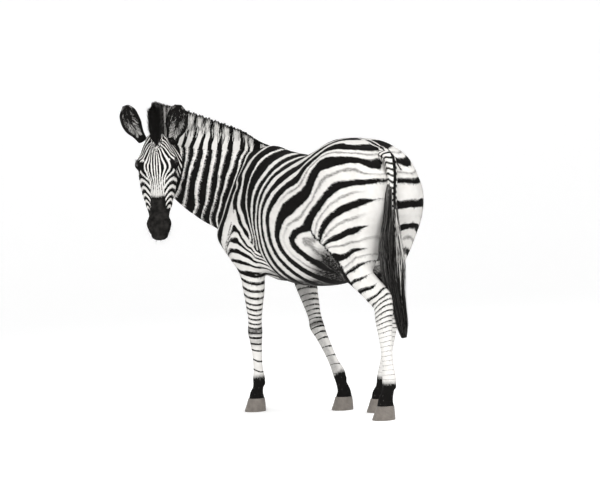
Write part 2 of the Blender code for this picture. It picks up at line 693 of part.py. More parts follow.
def cut_planes():
    """The thin cuts that part the flesh."""
    cuts = [
        slab((0.045, -0.085, 1.060), (0.22, -0.95, 0.22), UP, 0.36, 0.40),
        slab(facing_point(-0.330, -0.170, 1.165), (0.90, -0.30, 0.25), UP, 0.20, 0.30),
        slab(facing_point(-0.515, -0.090, 1.240), (0.74, 0.66, 0.12), UP, 0.20, 0.26),
        slab(head_point(0.352, -0.090), NOSE, UP, 0.15, 0.15),
        slab((0, SADDLE_CUT, 0.970), (0, 1, 0), UP, 0.40, 0.355),
        slab((0, LOIN_CUT, 0.970), (0, 1, 0), UP, 0.40, 0.40),
    ]
    for leg in (FORE_LEFT, FORE_RIGHT):
        e = vec(*leg["elbow"])
        c = vec(*leg["carpus"])
        f = vec(*leg["fetlock"])
        cuts.append(slab(mix(e, c, FOREARM_CUT), c - e, AHEAD, 0.08, 0.095))
        cuts.append(slab(c + unit(f - c) * KNEE_CUT, f - c, AHEAD, 0.06, 0.06))
    for leg in (HIND_LEFT, HIND_RIGHT):
        k = vec(*leg["stifle"])
        j = vec(*leg["hock"])
        f = vec(*leg["fetlock"])
        cuts.append(slab(mix(k, j, GASKIN_CUT), DOWN, AHEAD, 0.10, 0.15))
        cuts.append(slab(j + unit(f - j) * HOCK_CUT, f - j, AHEAD, 0.07, 0.07))
    return cuts


def piece_centres():
    """About where each piece of flesh has its middle."""
    centres = {
        "head": head_point(0.150, -0.100), "muzzle": head_point(0.430, -0.095),
        "neck_upper": facing_point(-0.430, -0.150, 1.200), "neck_lower": facing_point(-0.190, -0.120, 1.110),
        "forequarters": vec(0, 0.020, 0.930), "barrel": vec(0, 0.330, 0.950),
        "haunch_left": vec(0.140, 0.740, 0.980), "haunch_right": vec(-0.140, 0.740, 0.980),
    }
    for word, leg in (("left", FORE_LEFT), ("right", FORE_RIGHT)):
        centres["forearm_" + word] = mix(leg["elbow"], leg["carpus"], 0.62)
        centres["cannon_fore_" + word] = mix(leg["carpus"], leg["fetlock"], 0.65)
    for word, leg in (("left", HIND_LEFT), ("right", HIND_RIGHT)):
        centres["gaskin_" + word] = mix(leg["stifle"], leg["hock"], 0.80)
        centres["cannon_hind_" + word] = mix(leg["hock"], leg["fetlock"], 0.65)
    return centres


def material(name, colour, roughness):
    mat = bpy.data.materials.new(name)
    mat.use_nodes = True
    shader = mat.node_tree.nodes["Principled BSDF"]
    shader.inputs["Base Color"].default_value = colour
    shader.inputs["Roughness"].default_value = roughness
    shader.inputs["Metallic"].default_value = 0.0
    mat.diffuse_color = colour
    return mat


def build():
    for obj in list(bpy.data.objects):
        bpy.data.objects.remove(obj, do_unlink=True)

    flesh = thinned(make_object("flesh", *surface(flesh_masses(), CELL)), FLESH_TRIANGLES)
    skin = grown(flesh, "grown_flesh", GAP)
    nodes = {}

    # Long hair and ears stand on the flesh, so the flesh is taken out of them.
    for word, side in (("left", 1), ("right", -1)):
        ear = thinned(make_object("ear_" + word, *surface(ear_masses(side), FINE_CELL)), EAR_TRIANGLES)
        cut(ear, skin, keep_cutter=True)
        nodes["ear_" + word] = ear
    mane = thinned(make_object("mane", *surface(mane_masses(), FINE_CELL)), MANE_TRIANGLES)
    cut(mane, skin, keep_cutter=True)
    front_cut = slab(facing_point(-0.552, 0.052, 1.45), FACE, UP, 0.08, 0.16)
    cut(mane, box_object("front_cut", [front_cut]))
    mane_pieces = name_pieces(loose_pieces(mane), {
        "forelock": facing_point(-0.552, 0.090, 1.44), "mane": facing_point(-0.380, -0.120, 1.40)})
    nodes.update(mane_pieces)
    dock = thinned(make_object("tail_dock", *surface(dock_masses(), FINE_CELL)), DOCK_TRIANGLES)
    cut(dock, skin, keep_cutter=True)
    cut(dock, box_object("dock_end", [upright_box((-0.1, 0.8, 0.70), (0.2, 1.1, TUFT_TOP + GAP))]))
    nodes["tail_dock"] = dock
    tuft = thinned(make_object("tail_tuft", *surface(tuft_masses(), FINE_CELL)), TUFT_TRIANGLES)
    cut(tuft, box_object("tuft_top", [upright_box((-0.1, 0.8, TUFT_TOP), (0.2, 1.1, 1.00))]))
    nodes["tail_tuft"] = tuft
    discard(skin)

    for word, side in (("left", 1), ("right", -1)):
        eye = eyeball("eye_" + word, side)
        cut(flesh, grown(eye, "socket_" + word, GAP))
        nodes["eye_" + word] = eye
    cut(flesh, box_object("foot_ends", [upright_box((-0.4, -0.4, 0.0), (0.4, 1.2, CORONET_HEIGHT))]))
    cut(flesh, box_object("cuts", cut_planes()))
    haunch_parting = slab((0, LOIN_CUT + 0.27, 0.95), (1, 0, 0), UP, 0.27, 0.45)
    cut(flesh, box_object("haunch_parting", [haunch_parting]))
    nodes.update(name_pieces(loose_pieces(flesh), piece_centres()))

    for word, leg in (("fore_left", FORE_LEFT), ("fore_right", FORE_RIGHT),
                      ("hind_left", HIND_LEFT), ("hind_right", HIND_RIGHT)):
        nodes["hoof_" + word] = hoof_object("hoof_" + word, *leg["hoof"])

    # The origin is on the floor under the middle of the whole animal.
    corners = np.array([v.co for obj in nodes.values() for v in obj.data.vertices])
    middle = (corners.min(0) + corners.max(0)) / 2
    for name, obj in nodes.items():
        obj.data.transform(Matrix.Translation((-middle[0], -middle[1], 0)))
        obj.data.shade_smooth()
        obj.data.set_sharp_from_angle(angle=math.radians(50))
        if name.startswith("hoof"):
            look = (HORN_GREY, 0.55)
        elif name.startswith("eye"):
            look = (EYE_BROWN, 0.12)
        elif name in ("mane", "forelock", "tail_tuft"):
            look = (HAIR_BLACK, 0.8)
        elif name == "muzzle":
            look = (SKIN_BLACK, 0.6)
        else:
            look = (COAT_WHITE, 0.75)
        obj.data.materials.clear()
        obj.data.materials.append(material(name, *look))
    return nodes


build()
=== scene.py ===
# %% [markdown]
# # A plains zebra, standing and looking back
# The solids of this animal are packed already. Here it gets what makes it look alive: one smooth skin
# without seams, its stripes, a short coat, the long hair of mane and tail, wet eyes and horn hooves.
# Everything is worked out from functions, so the same run always gives the same animal.

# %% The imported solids
import math

import bmesh
import bpy
import numpy as np
from mathutils import Matrix, Vector


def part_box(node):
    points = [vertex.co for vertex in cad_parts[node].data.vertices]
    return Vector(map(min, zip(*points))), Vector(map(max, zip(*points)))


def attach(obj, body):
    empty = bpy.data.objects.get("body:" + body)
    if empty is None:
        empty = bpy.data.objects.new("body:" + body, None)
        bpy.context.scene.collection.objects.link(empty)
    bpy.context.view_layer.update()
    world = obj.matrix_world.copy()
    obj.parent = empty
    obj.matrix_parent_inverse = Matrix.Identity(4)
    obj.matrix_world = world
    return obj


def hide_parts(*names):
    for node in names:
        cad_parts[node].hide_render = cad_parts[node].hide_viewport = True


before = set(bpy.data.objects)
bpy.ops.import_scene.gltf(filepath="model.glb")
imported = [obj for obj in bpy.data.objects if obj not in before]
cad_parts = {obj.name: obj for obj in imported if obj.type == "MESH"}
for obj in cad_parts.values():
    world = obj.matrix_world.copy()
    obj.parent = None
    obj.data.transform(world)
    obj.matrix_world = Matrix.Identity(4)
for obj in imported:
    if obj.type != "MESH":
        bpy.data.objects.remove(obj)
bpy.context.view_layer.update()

# %% [markdown]
# The body is described in its own frame: withers over the origin, trunk along -Y, left side at +X,
# floor at zero. The driving sizes come first, as on a taxidermist's measuring sheet, and the packed
# hoof tells how far that frame lies from the solids' one.

# %% Driving sizes
CELL = 0.012     # grid step of the body's skin
FINE_CELL = 0.0045                   # grid step of ears and tail
COAT = 0.003                         # how deep the skin lies under the tips of the body's coat
FACE_COAT = 0.001                    # the same on the face and the feet
CORONET_HEIGHT = 0.066
EYE_RADIUS = 0.0235

SIDES = (("left", 1), ("right", -1))
FACE_YAW = math.radians(52.0)
FACE_TILT = math.radians(24.0)
POLL = np.array((0.488, -0.272, 1.385))

UP = np.array((0.0, 0.0, 1.0))
DOWN = -UP
AHEAD = np.array((0.0, -1.0, 0.0))
FACE = np.array((math.cos(FACE_YAW), math.sin(FACE_YAW), 0.0))
NOSE = FACE * math.sin(FACE_TILT) - UP * math.cos(FACE_TILT)
BROW = FACE * math.cos(FACE_TILT) + UP * math.sin(FACE_TILT)
FACE_LEFT = np.cross(BROW, NOSE)
FACE_ACROSS = np.cross(UP, FACE)

EAR_BASE = {1: (0.004, -0.085, 0.066), -1: (-0.018, -0.085, -0.072)}
EAR_LEAN = {1: 0.27, -1: 0.42}
EAR_BREADTH = {1: 1.12, -1: 1.02}

FORE_LEFT = {"side": 1, "shoulder": (0.145, -0.15, 0.88), "elbow": (0.162, 0.03, 0.7),
             "carpus": (0.128, -0.028, 0.395), "fetlock": (0.124, -0.026, 0.15), "hoof": (0.124, -0.058)}
FORE_RIGHT = {"side": -1, "shoulder": (-0.145, -0.13, 0.88), "elbow": (-0.15, 0.02, 0.7),
              "carpus": (-0.12, 0.15, 0.405), "fetlock": (-0.11, 0.318, 0.165), "hoof": (-0.11, 0.335)}
HIND_LEFT = {"side": 1, "hip": (0.115, 0.7, 1.09), "stifle": (0.165, 0.61, 0.8),
             "hock": (0.125, 0.945, 0.525), "fetlock": (0.118, 0.95, 0.165), "hoof": (0.118, 0.91)}
HIND_RIGHT = {"side": -1, "hip": (-0.115, 0.67, 1.09), "stifle": (-0.165, 0.48, 0.79),
              "hock": (-0.125, 0.718, 0.5), "fetlock": (-0.11, 0.64, 0.155), "hoof": (-0.11, 0.6)}

SOLE_TOE = 0.068                     # from a hoof's place forward to the tip of its sole
hoof_low, hoof_high = (np.array(corner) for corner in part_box("hoof_fore_left"))
HOME = np.array(((hoof_low[0] + hoof_high[0]) / 2 - FORE_LEFT["hoof"][0],
                 hoof_low[1] + SOLE_TOE - FORE_LEFT["hoof"][1], 0.0))
print("the withers stand at", HOME.round(4))


# %% [markdown]
# Flesh has no edges: muscles run into each other. So the body is a blend of rounded masses, each swept
# along a smooth line with its own width and depths, like clay rolled over a wire. The distance to
# every mass is worked out for any place in space, and a soft minimum joins the distances.

# %% Small vector helpers
def vec(*values):
    return np.array(values, float)


def unit(v):
    v = np.asarray(v, float)
    return v / np.maximum(np.linalg.norm(v, axis=-1, keepdims=True), 1e-12)


def mix(a, b, t):
    return np.asarray(a, float) * (1 - t) + np.asarray(b, float) * t


def in_metres(places_by_value):
    """The same places, given in millimetres, in metres."""
    return {value: [tuple(x / 1000 for x in place) for place in places]
            for value, places in places_by_value.items()}


def station(place, *sizes):
    """One row of a sweep: a place, then half-width, depth in front, depth behind and roundness."""
    return (*np.asarray(place, float), *sizes)


def head_point(along, out, side=0.0):
    """A place in the head's own frame: down the nose, out of the brow, to its left."""
    return POLL + along * NOSE + out * BROW + side * FACE_LEFT


def facing_point(across, ahead, height):
    """A place by its distance across and along the way the face looks."""
    return across * FACE_ACROSS + ahead * FACE + height * UP


print("the nose points along", NOSE.round(3), "and its end is at", (HOME + head_point(0.5, -0.1)).round(3))

# %% A mass swept along a line
def smooth_curve(knots, rows, at):
    """A smooth curve through the rows at the knots, read at the given values."""
    slope = np.gradient(rows, knots, axis=0)
    i = np.clip(np.searchsorted(knots, at, side="right") - 1, 0, len(knots) - 2)
    span = (knots[i + 1] - knots[i])[:, None]
    t = (at - knots[i])[:, None] / span
    start = (2 * t**3 - 3 * t**2 + 1) * rows[i] + (t**3 - 2 * t**2 + t) * slope[i] * span
    end = (3 * t**2 - 2 * t**3) * rows[i + 1] + (t**3 - t**2) * slope[i + 1] * span
    return start + end


class Sweep:
    """A rounded mass along a smooth line, with its own width and depths at each station."""

    def __init__(self, stations, front, cap, blend, power=2.1, pinch=0.0, keel=0.0, steps=5):
        rows = np.array([row if len(row) == 7 else (*row, power) for row in stations], float)
        gaps = np.linalg.norm(np.diff(rows[:, :3], axis=0), axis=1)
        knots = np.concatenate([[0.0], np.cumsum(gaps)])
        pieces = [np.linspace(a, b, steps + 1) for a, b in zip(knots, knots[1:])]
        self.at = np.unique(np.concatenate(pieces))
        fine = smooth_curve(knots, rows, self.at)
        self.line = fine[:, :3]
        self.size = np.maximum(fine[:, 3:6], 1e-3)
        self.power = fine[:, 6]
        self.tangent = unit(np.gradient(self.line, self.at, axis=0))
        front = np.broadcast_to(np.asarray(front, float), self.line.shape)
        self.front = unit(front - (front * self.tangent).sum(1, keepdims=True) * self.tangent)
        self.side = np.cross(self.front, self.tangent)
        self.cap = cap
        self.blend = blend
        self.pinch = pinch
        self.keel = keel
        reach = self.size.max() + max(cap)
        self.low = self.line.min(0) - reach
        self.high = self.line.max(0) + reach

    def locate(self, p):
        """The stretch of the line nearest to each point, and how far along it."""
        best = np.full(len(p), np.inf)
        i = np.zeros(len(p), int)
        t = np.zeros(len(p))
        for k in range(len(self.line) - 1):
            a = self.line[k]
            d = self.line[k + 1] - a
            share = np.clip((p - a) @ d / (d @ d), 0, 1)
            gap = ((p - a - share[:, None] * d) ** 2).sum(1)
            near = gap < best
            best[near] = gap[near]
            i[near] = k
            t[near] = share[near]
        return i, t

    def chart(self, p):
        """Each point along the line, out of its front and to its side."""
        i, t = self.locate(p)
        w = t[:, None]
        q = p - self.line[i] * (1 - w) - self.line[i + 1] * w
        tangent, front, side = (unit(v[i] * (1 - w) + v[i + 1] * w)
                                for v in (self.tangent, self.front, self.side))
        at = self.at[i] * (1 - t) + self.at[i + 1] * t
        return at + (q * tangent).sum(1), (q * front).sum(1), (q * side).sum(1)

    def distance(self, p):
        """About the distance from each point to the surface, negative inside."""
        i, t = self.locate(p)

        def along(values):
            w = t if values.ndim == 1 else t[:, None]
            return values[i] * (1 - w) + values[i + 1] * w

        q = p - along(self.line)
        across = (q * unit(along(self.side))).sum(1) + 1e-7
        depth = (q * unit(along(self.front))).sum(1)
        length = (q * unit(along(self.tangent))).sum(1)
        size = along(self.size)
        power = along(self.power)
        v = np.abs(depth) / np.where(depth > 0, size[:, 1], size[:, 2])
        taper = np.where(depth > 0, self.pinch, self.keel) * np.clip(v, 0, 1.2) ** 2 * 0.8
        u = np.abs(across) / (size[:, 0] * (1 - taper))
        cap = np.where(along(self.at) < self.at[-1] / 2, self.cap[0], self.cap[1])
        r = (u**power + v**power + (np.abs(length) / cap) ** power) ** (1 / power)
        return (np.linalg.norm(q, axis=1) + 1e-7) * (1 - 1 / r)


ROD = Sweep([station(UP * z, 0.1, 0.1, 0.1) for z in (0, 0.5, 1)], AHEAD, (0.1, 0.1), 0.05)
print("from a rod of radius 0.1 m to a place 0.3 m off its middle:", ROD.distance(vec((0.3, 0, 0.5))).round(3))


class Cup:
    """A sweep hollowed by another."""

    def __init__(self, outer, hollow):
        self.outer = outer
        self.hollow = hollow
        self.blend = outer.blend
        self.low = outer.low
        self.high = outer.high

    def distance(self, p):
        return -smooth_min(-self.outer.distance(p), self.hollow.distance(p), 0.004)


# %% Masses joined into one form
def smooth_min(a, b, k):
    h = np.clip(0.5 + 0.5 * (b - a) / k, 0, 1)
    return b * (1 - h) + a * h - k * h * (1 - h)


def blended(masses, p):
    """The joined distance of all masses at the points p."""
    out = np.full(len(p), 1.0)
    for mass in masses:
        margin = mass.blend + 0.06
        near = np.flatnonzero(((p > mass.low - margin) & (p < mass.high + margin)).all(1))
        if len(near):
            out[near] = smooth_min(out[near], mass.distance(p[near]), mass.blend)
    return out


def sampled(masses, cell, coarse=4):
    """The joined distance on a grid, worked out finely only where the surface can lie."""
    low = np.min([m.low for m in masses], axis=0) - 2 * cell
    high = np.max([m.high for m in masses], axis=0) + 2 * cell
    count = (np.ceil((high - low) / (cell * coarse)).astype(int) + 1) * coarse + 1
    axes = [low[e] + cell * np.arange(count[e]) for e in range(3)]
    rough_axes = [a[::coarse] for a in axes]
    rough_points = np.stack(np.meshgrid(*rough_axes, indexing="ij"), -1).reshape(-1, 3)
    grid = blended(masses, rough_points).reshape([len(a) for a in rough_axes])
    for e in range(3):
        x = np.arange((grid.shape[e] - 1) * coarse + 1) / coarse
        i = np.minimum(x.astype(int), grid.shape[e] - 2)
        t = (x - i).reshape([-1 if k == e else 1 for k in range(3)])
        grid = np.take(grid, i, e) * (1 - t) + np.take(grid, i + 1, e) * t
    band = np.argwhere(np.abs(grid) < cell * coarse * 0.9)
    grid[tuple(band.T)] = blended(masses, np.stack([axes[e][band[:, e]] for e in range(3)], 1))
    for _ in range(2):
        grid = softened(grid)
    return axes, grid


def softened(grid):
    """The grid with each value drawn half-way to the mean of its neighbours."""
    out = grid.copy()
    core = out[1:-1, 1:-1, 1:-1]
    core *= 0.5
    for e in range(3):
        for step in (0, 2):
            window = [slice(1, -1)] * 3
            window[e] = slice(step, grid.shape[e] - 2 + step)
            core += grid[tuple(window)] / 12
    return out


def without_touching_corners(grid):
    """Fill the places where two filled cells would meet only along an edge."""
    for _ in range(6):
        found = 0
        for e, f in ((0, 1), (0, 2), (1, 2)):
            views = []
            for a, b in ((0, 0), (1, 0), (0, 1), (1, 1)):
                window = [slice(None)] * 3
                window[e] = slice(a, grid.shape[e] - 1 + a)
                window[f] = slice(b, grid.shape[f] - 1 + b)
                views.append(grid[tuple(window)])
            inside = [view < 0 for view in views]
            crossed = (inside[0] == inside[3]) & (inside[1] == inside[2]) & (inside[0] != inside[1])
            found += crossed.sum()
            for view in views:
                view[crossed & (view >= 0)] = -1e-4
        if not found:
            break
    return grid


print("a soft minimum of 0.02 and 0.03:", smooth_min(0.02, 0.03, 0.05).round(4))

# %% [markdown]
# A grid of distances becomes a mesh by surface nets: each grid cell that the form's surface crosses
# gives one vertex, and each crossed grid edge gives one face. The mesh is then pulled exactly onto
# the surface, so a fairly coarse grid is enough.

# %% From distances to a mesh
def surface(masses, cell):
    """Vertices and outward quads where the joined distance changes sign."""
    axes, grid = sampled(masses, cell)
    grid = without_touching_corners(grid)
    inside = grid < 0
    shape = np.array(grid.shape)
    corners = [(i, j, k) for i in (0, 1) for j in (0, 1) for k in (0, 1)]
    filled = np.zeros(shape - 1, np.int8)
    for i, j, k in corners:
        filled += inside[i:shape[0] - 1 + i, j:shape[1] - 1 + j, k:shape[2] - 1 + k]
    mixed = (filled > 0) & (filled < 8)
    cells = np.argwhere(mixed)
    number = np.full(mixed.shape, -1)
    number[mixed] = np.arange(len(cells))
    total = np.zeros((len(cells), 3))
    hits = np.zeros(len(cells))
    for corner in corners:
        for axis in range(3):
            if corner[axis]:
                continue
            step = np.eye(3)[axis]
            other = np.array(corner) + step.astype(int)
            a = grid[tuple((cells + corner).T)]
            b = grid[tuple((cells + other).T)]
            crosses = (a < 0) != (b < 0)
            t = np.where(crosses, a / np.where(crosses, a - b, 1), 0)
            place = np.array(corner, float) + t[:, None] * step
            total[crosses] += place[crosses]
            hits[crosses] += 1
    points = np.array([a[0] for a in axes]) + (cells + total / hits[:, None]) * cell
    quads = []
    for axis in range(3):
        first, second = [e for e in range(3) if e != axis]
        here = [slice(1, -1)] * 3
        here[axis] = slice(0, -1)
        beyond = list(here)
        beyond[axis] = slice(1, None)
        a = inside[tuple(here)]
        b = inside[tuple(beyond)]
        for change, flip in ((a & ~b, axis == 1), (~a & b, axis != 1)):
            at = np.argwhere(change) + 1
            at[:, axis] -= 1
            ring = []
            for d1, d2 in ((-1, -1), (0, -1), (0, 0), (-1, 0)):
                c = at.copy()
                c[:, first] += d1
                c[:, second] += d2
                ring.append(number[tuple(c.T)])
            ring = np.stack(ring, 1)
            quads.append(ring[:, ::-1] if flip else ring)
    return points, np.concatenate(quads)


print("the rod's mesh has", len(surface([ROD], 0.05)[0]), "vertices")

# %% [markdown]
# The masses are those that a taxidermist models in clay: barrel and breast, neck, skull with jaw and
# cheekbones, and for each leg its shoulder or thigh, shank and tendons. Each row is a place on the
# mass's line with the half-width and depths there. A leg's rows hang on its own joints, so one
# function makes both legs of a pair in their different stances.

# %% Masses of the body
def trunk_masses():
    barrel = Sweep([
        (0, -0.17, 0.96, 0.105, 0.17, 0.16, 2.1),
        (0, -0.095, 0.96, 0.16, 0.255, 0.24, 2.1),
        (0, 0.0, 0.97, 0.205, 0.32, 0.312, 2.1),
        (0, 0.16, 0.975, 0.248, 0.345, 0.292, 2.2),
        (0, 0.32, 0.97, 0.282, 0.362, 0.272, 2.25),
        (0, 0.48, 0.985, 0.286, 0.365, 0.28, 2.25),
        (0, 0.62, 1.01, 0.262, 0.32, 0.306, 2.2),
        (0, 0.74, 1.04, 0.225, 0.24, 0.272, 2.1),
        (0, 0.84, 1.06, 0.15, 0.16, 0.2, 2.1)], DOWN, (0.07, 0.06), 0.05, keel=0.35, pinch=0.12, steps=8)
    breast = [Sweep([
        (s * 0.05, -0.2, 0.9, 0.06, 0.05, 0.07),
        (s * 0.06, -0.16, 0.825, 0.066, 0.055, 0.08),
        (s * 0.055, -0.08, 0.745, 0.06, 0.055, 0.06)], (0, -1, -0.3), (0.05, 0.05), 0.09) for s in (1, -1)]
    return [barrel] + breast


def neck_masses():
    return [Sweep([
        (0.0, 0.06, 1.02, 0.1, 0.22, 0.22),
        (0.008, -0.052, 1.06, 0.118, 0.27, 0.225),
        station(facing_point(-0.141, -0.114, 1.105), 0.108, 0.255, 0.198),
        station(facing_point(-0.284, -0.165, 1.148), 0.089, 0.212, 0.172),
        station(facing_point(-0.415, -0.155, 1.2), 0.075, 0.158, 0.142),
        station(facing_point(-0.5, -0.098, 1.245), 0.07, 0.122, 0.118),
        station(facing_point(-0.545, -0.02, 1.278), 0.064, 0.092, 0.095)],
        DOWN, (0.1, 0.04), 0.09, keel=0.45, pinch=0.2, steps=8)]


def head_masses():
    def row(along, out, half_width, front, back, power=2.2):
        return station(head_point(along, out), half_width, front, back, power)

    masses = [Sweep([
        row(0.0, -0.075, 0.058, 0.058, 0.06),
        row(0.045, -0.078, 0.076, 0.076, 0.075, 2.3),
        row(0.1, -0.08, 0.086, 0.084, 0.08, 2.4),
        row(0.15, -0.082, 0.09, 0.084, 0.088, 2.5),
        row(0.21, -0.084, 0.084, 0.076, 0.088, 2.4),
        row(0.28, -0.086, 0.073, 0.066, 0.08, 2.3),
        row(0.345, -0.088, 0.06, 0.06, 0.064),
        row(0.39, -0.09, 0.05, 0.056, 0.054),
        row(0.43, -0.093, 0.052, 0.055, 0.048, 2.3),
        row(0.465, -0.097, 0.052, 0.049, 0.046, 2.3),
        row(0.488, -0.102, 0.042, 0.038, 0.04)], BROW, (0.04, 0.028), 0.02)]
    for s in (1, -1):
        jaw = [(0.07, -0.15, 0.045, 0.03, 0.05, 0.05), (0.14, -0.165, 0.048, 0.03, 0.05, 0.052),
               (0.22, -0.152, 0.042, 0.026, 0.05, 0.045), (0.32, -0.128, 0.03, 0.02, 0.04, 0.028)]
        orbit = [(0.098, -0.052, 0.074, 0.016, 0.012, 0.018), (0.128, -0.04, 0.082, 0.016, 0.013, 0.018),
                 (0.162, -0.052, 0.076, 0.015, 0.012, 0.018)]
        cheekbone = [(0.17, -0.092, 0.078, 0.014, 0.015, 0.016), (0.225, -0.092, 0.074, 0.012, 0.012, 0.012),
                     (0.28, -0.092, 0.062, 0.01, 0.01, 0.01)]
        nostril = [(0.42, -0.062, 0.036, 0.014, 0.016, 0.018), (0.445, -0.062, 0.046, 0.015, 0.016, 0.02),
                   (0.468, -0.072, 0.04, 0.013, 0.014, 0.018)]
        for rows, blend in ((jaw, 0.04), (orbit, 0.02), (cheekbone, 0.022), (nostril, 0.016)):
            line = [station(head_point(a, o, s * w), *sizes) for a, o, w, *sizes in rows]
            masses.append(Sweep(line, BROW, (0.02, 0.018), blend))
    nasal = [row(0.12, -0.026, 0.036, 0.022, 0.02), row(0.24, -0.034, 0.028, 0.02, 0.02),
             row(0.4, -0.052, 0.022, 0.018, 0.02)]
    chin = [row(0.445, -0.13, 0.026, 0.02, 0.018), row(0.478, -0.128, 0.03, 0.02, 0.02)]
    masses.append(Sweep(nasal, BROW, (0.03, 0.02), 0.025))
    masses.append(Sweep(chin, BROW, (0.02, 0.018), 0.012))
    return masses


def foreleg_masses(side, shoulder, elbow, carpus, fetlock, hoof):
    a, e, c, f = (vec(*p) for p in (shoulder, elbow, carpus, fetlock))
    x, y = hoof
    arm = unit(c - e)
    cannon = unit(f - c)
    pastern = unit(vec(x, y + 0.008, 0.075) - f)
    blade = Sweep([
        (side * 0.05, 0.03, 1.17, 0.045, 0.06, 0.07), (side * 0.095, -0.02, 1.07, 0.07, 0.1, 0.1),
        (side * 0.12, -0.08, 0.97, 0.078, 0.09, 0.11), station(a, 0.068, 0.07, 0.09)],
        (0, -1, -0.4), (0.06, 0.05), 0.1)
    upper_arm = Sweep([
        station(a + (0, 0.02, 0), 0.066, 0.07, 0.1),
        station(mix(a, e, 0.5) + (0, 0, 0.015), 0.074, 0.08, 0.12),
        station(e + (-side * 0.005, -0.01, 0.01), 0.062, 0.074, 0.08)], (0, -1, -0.3), (0.04, 0.03), 0.08)
    leg = Sweep([
        station(e + (0, -0.012, 0.03), 0.058, 0.07, 0.068),
        station(mix(e, c, 0.28), 0.052, 0.066, 0.058),
        station(mix(e, c, 0.6), 0.04, 0.047, 0.043),
        station(c - arm * 0.05, 0.032, 0.035, 0.035),
        station(c, 0.036, 0.037, 0.034),
        station(c + cannon * 0.05, 0.029, 0.031, 0.031),
        station(mix(c, f, 0.45), 0.023, 0.024, 0.03),
        station(mix(c, f, 0.76), 0.022, 0.024, 0.029),
        station(f - cannon * 0.012, 0.028, 0.029, 0.037),
        station(f + pastern * 0.04, 0.025, 0.027, 0.03),
        (x, y + 0.01, 0.085, 0.032, 0.037, 0.037),
        (x, y + 0.008, 0.06, 0.037, 0.044, 0.041)], AHEAD, (0.04, 0.012), 0.022)
    return [blade, upper_arm, leg]


def hindleg_masses(side, hip, stifle, hock, fetlock, hoof):
    h, k, j, f = (vec(*p) for p in (hip, stifle, hock, fetlock))
    x, y = hoof
    cannon = unit(f - j)
    pastern = unit(vec(x, y + 0.008, 0.075) - f)
    croup = Sweep([
        (side * 0.085, 0.5, 1.12, 0.05, 0.06, 0.075), (side * 0.102, 0.6, 1.112, 0.098, 0.13, 0.134),
        (side * 0.11, 0.7, 1.108, 0.118, 0.17, 0.168), (side * 0.108, 0.79, 1.083, 0.112, 0.17, 0.152),
        (side * 0.098, 0.87, 1.036, 0.082, 0.12, 0.115)], (0, -0.2, -1), (0.12, 0.05), 0.11, keel=0.3)
    thigh = Sweep([
        station(h, 0.105, 0.14, 0.14),
        station(mix(h, k, 0.5) + (side * 0.012, 0.02, 0.02), 0.1, 0.15, 0.14),
        station(k + (0, 0.035, 0.02), 0.072, 0.082, 0.1),
        station(k + (-side * 0.005, 0.08, -0.05), 0.058, 0.066, 0.088)], AHEAD, (0.05, 0.04), 0.08)
    flank_fold = Sweep([
        station(k + (side * 0.005, 0, 0.05), 0.04, 0.05, 0.06),
        station(k + (side * 0.022, -0.075, 0.075), 0.02, 0.035, 0.05),
        station(k + (side * 0.03, -0.15, 0.11), 0.012, 0.02, 0.03)], DOWN, (0.03, 0.03), 0.07)
    hamstrings = Sweep([
        (side * 0.085, 0.88, 1.09, 0.06, 0.07, 0.045), (side * 0.105, 0.878, 1.0, 0.085, 0.12, 0.066),
        station(mix((side * 0.11, 0.868, 0.9), mix(k, j, 0.45), 0.25), 0.088, 0.12, 0.07),
        station(mix((side * 0.115, 0.868, 0.86), mix(k, j, 0.5) + (0, 0.03, 0), 0.62), 0.066, 0.085, 0.06),
        station(mix(k, j, 0.5) + (0, 0.02, 0.01), 0.052, 0.065, 0.056)], AHEAD, (0.04, 0.03), 0.06)
    leg = Sweep([
        station(k + (0, 0.06, -0.02), 0.064, 0.072, 0.09),
        station(mix(k, j, 0.3) + (0, 0.012, 0.01), 0.06, 0.067, 0.084),
        station(mix(k, j, 0.58) + (0, 0.006, 0.008), 0.048, 0.052, 0.062),
        station(mix(k, j, 0.82) + (0, 0, 0.004), 0.038, 0.045, 0.047),
        station(j, 0.038, 0.052, 0.046),
        station(j + cannon * 0.06, 0.036, 0.047, 0.042),
        station(j + cannon * 0.135, 0.029, 0.036, 0.037),
        station(mix(j, f, 0.72), 0.023, 0.025, 0.032),
        station(f - cannon * 0.015, 0.029, 0.031, 0.039),
        station(f + pastern * 0.04, 0.026, 0.028, 0.031),
        (x, y + 0.01, 0.085, 0.033, 0.038, 0.038),
        (x, y + 0.008, 0.06, 0.037, 0.043, 0.041)], AHEAD, (0.04, 0.012), 0.022)
    tendon = Sweep([
        station(mix(k, j, 0.5) + (0, 0.05, 0.045), 0.028, 0.04, 0.02),
        station(mix(k, j, 0.78) + (0, 0.048, 0.05), 0.018, 0.03, 0.018),
        station(j + (0, 0.038, 0.042), 0.02, 0.028, 0.018),
        station(j + (0, 0.03, -0.02), 0.018, 0.024, 0.016)], AHEAD, (0.03, 0.02), 0.03)
    return [croup, thigh, flank_fold, hamstrings, leg, tendon]


def flesh_masses():
    masses = trunk_masses() + neck_masses()
    masses += foreleg_masses(**FORE_LEFT) + foreleg_masses(**FORE_RIGHT)
    masses += hindleg_masses(**HIND_LEFT) + hindleg_masses(**HIND_RIGHT)
    return masses + head_masses()


def dock_masses():
    return [Sweep([
        (0.0, 0.84, 1.205, 0.034, 0.034, 0.034),
        (0.01, 0.905, 1.195, 0.031, 0.031, 0.031),
        (0.03, 0.945, 1.13, 0.028, 0.026, 0.026),
        (0.05, 0.96, 1.03, 0.026, 0.024, 0.024),
        (0.06, 0.966, 0.93, 0.026, 0.024, 0.024),
        (0.066, 0.97, 0.84, 0.028, 0.025, 0.025)], (0, 1, 0.2), (0.03, 0.02), 0.025)]


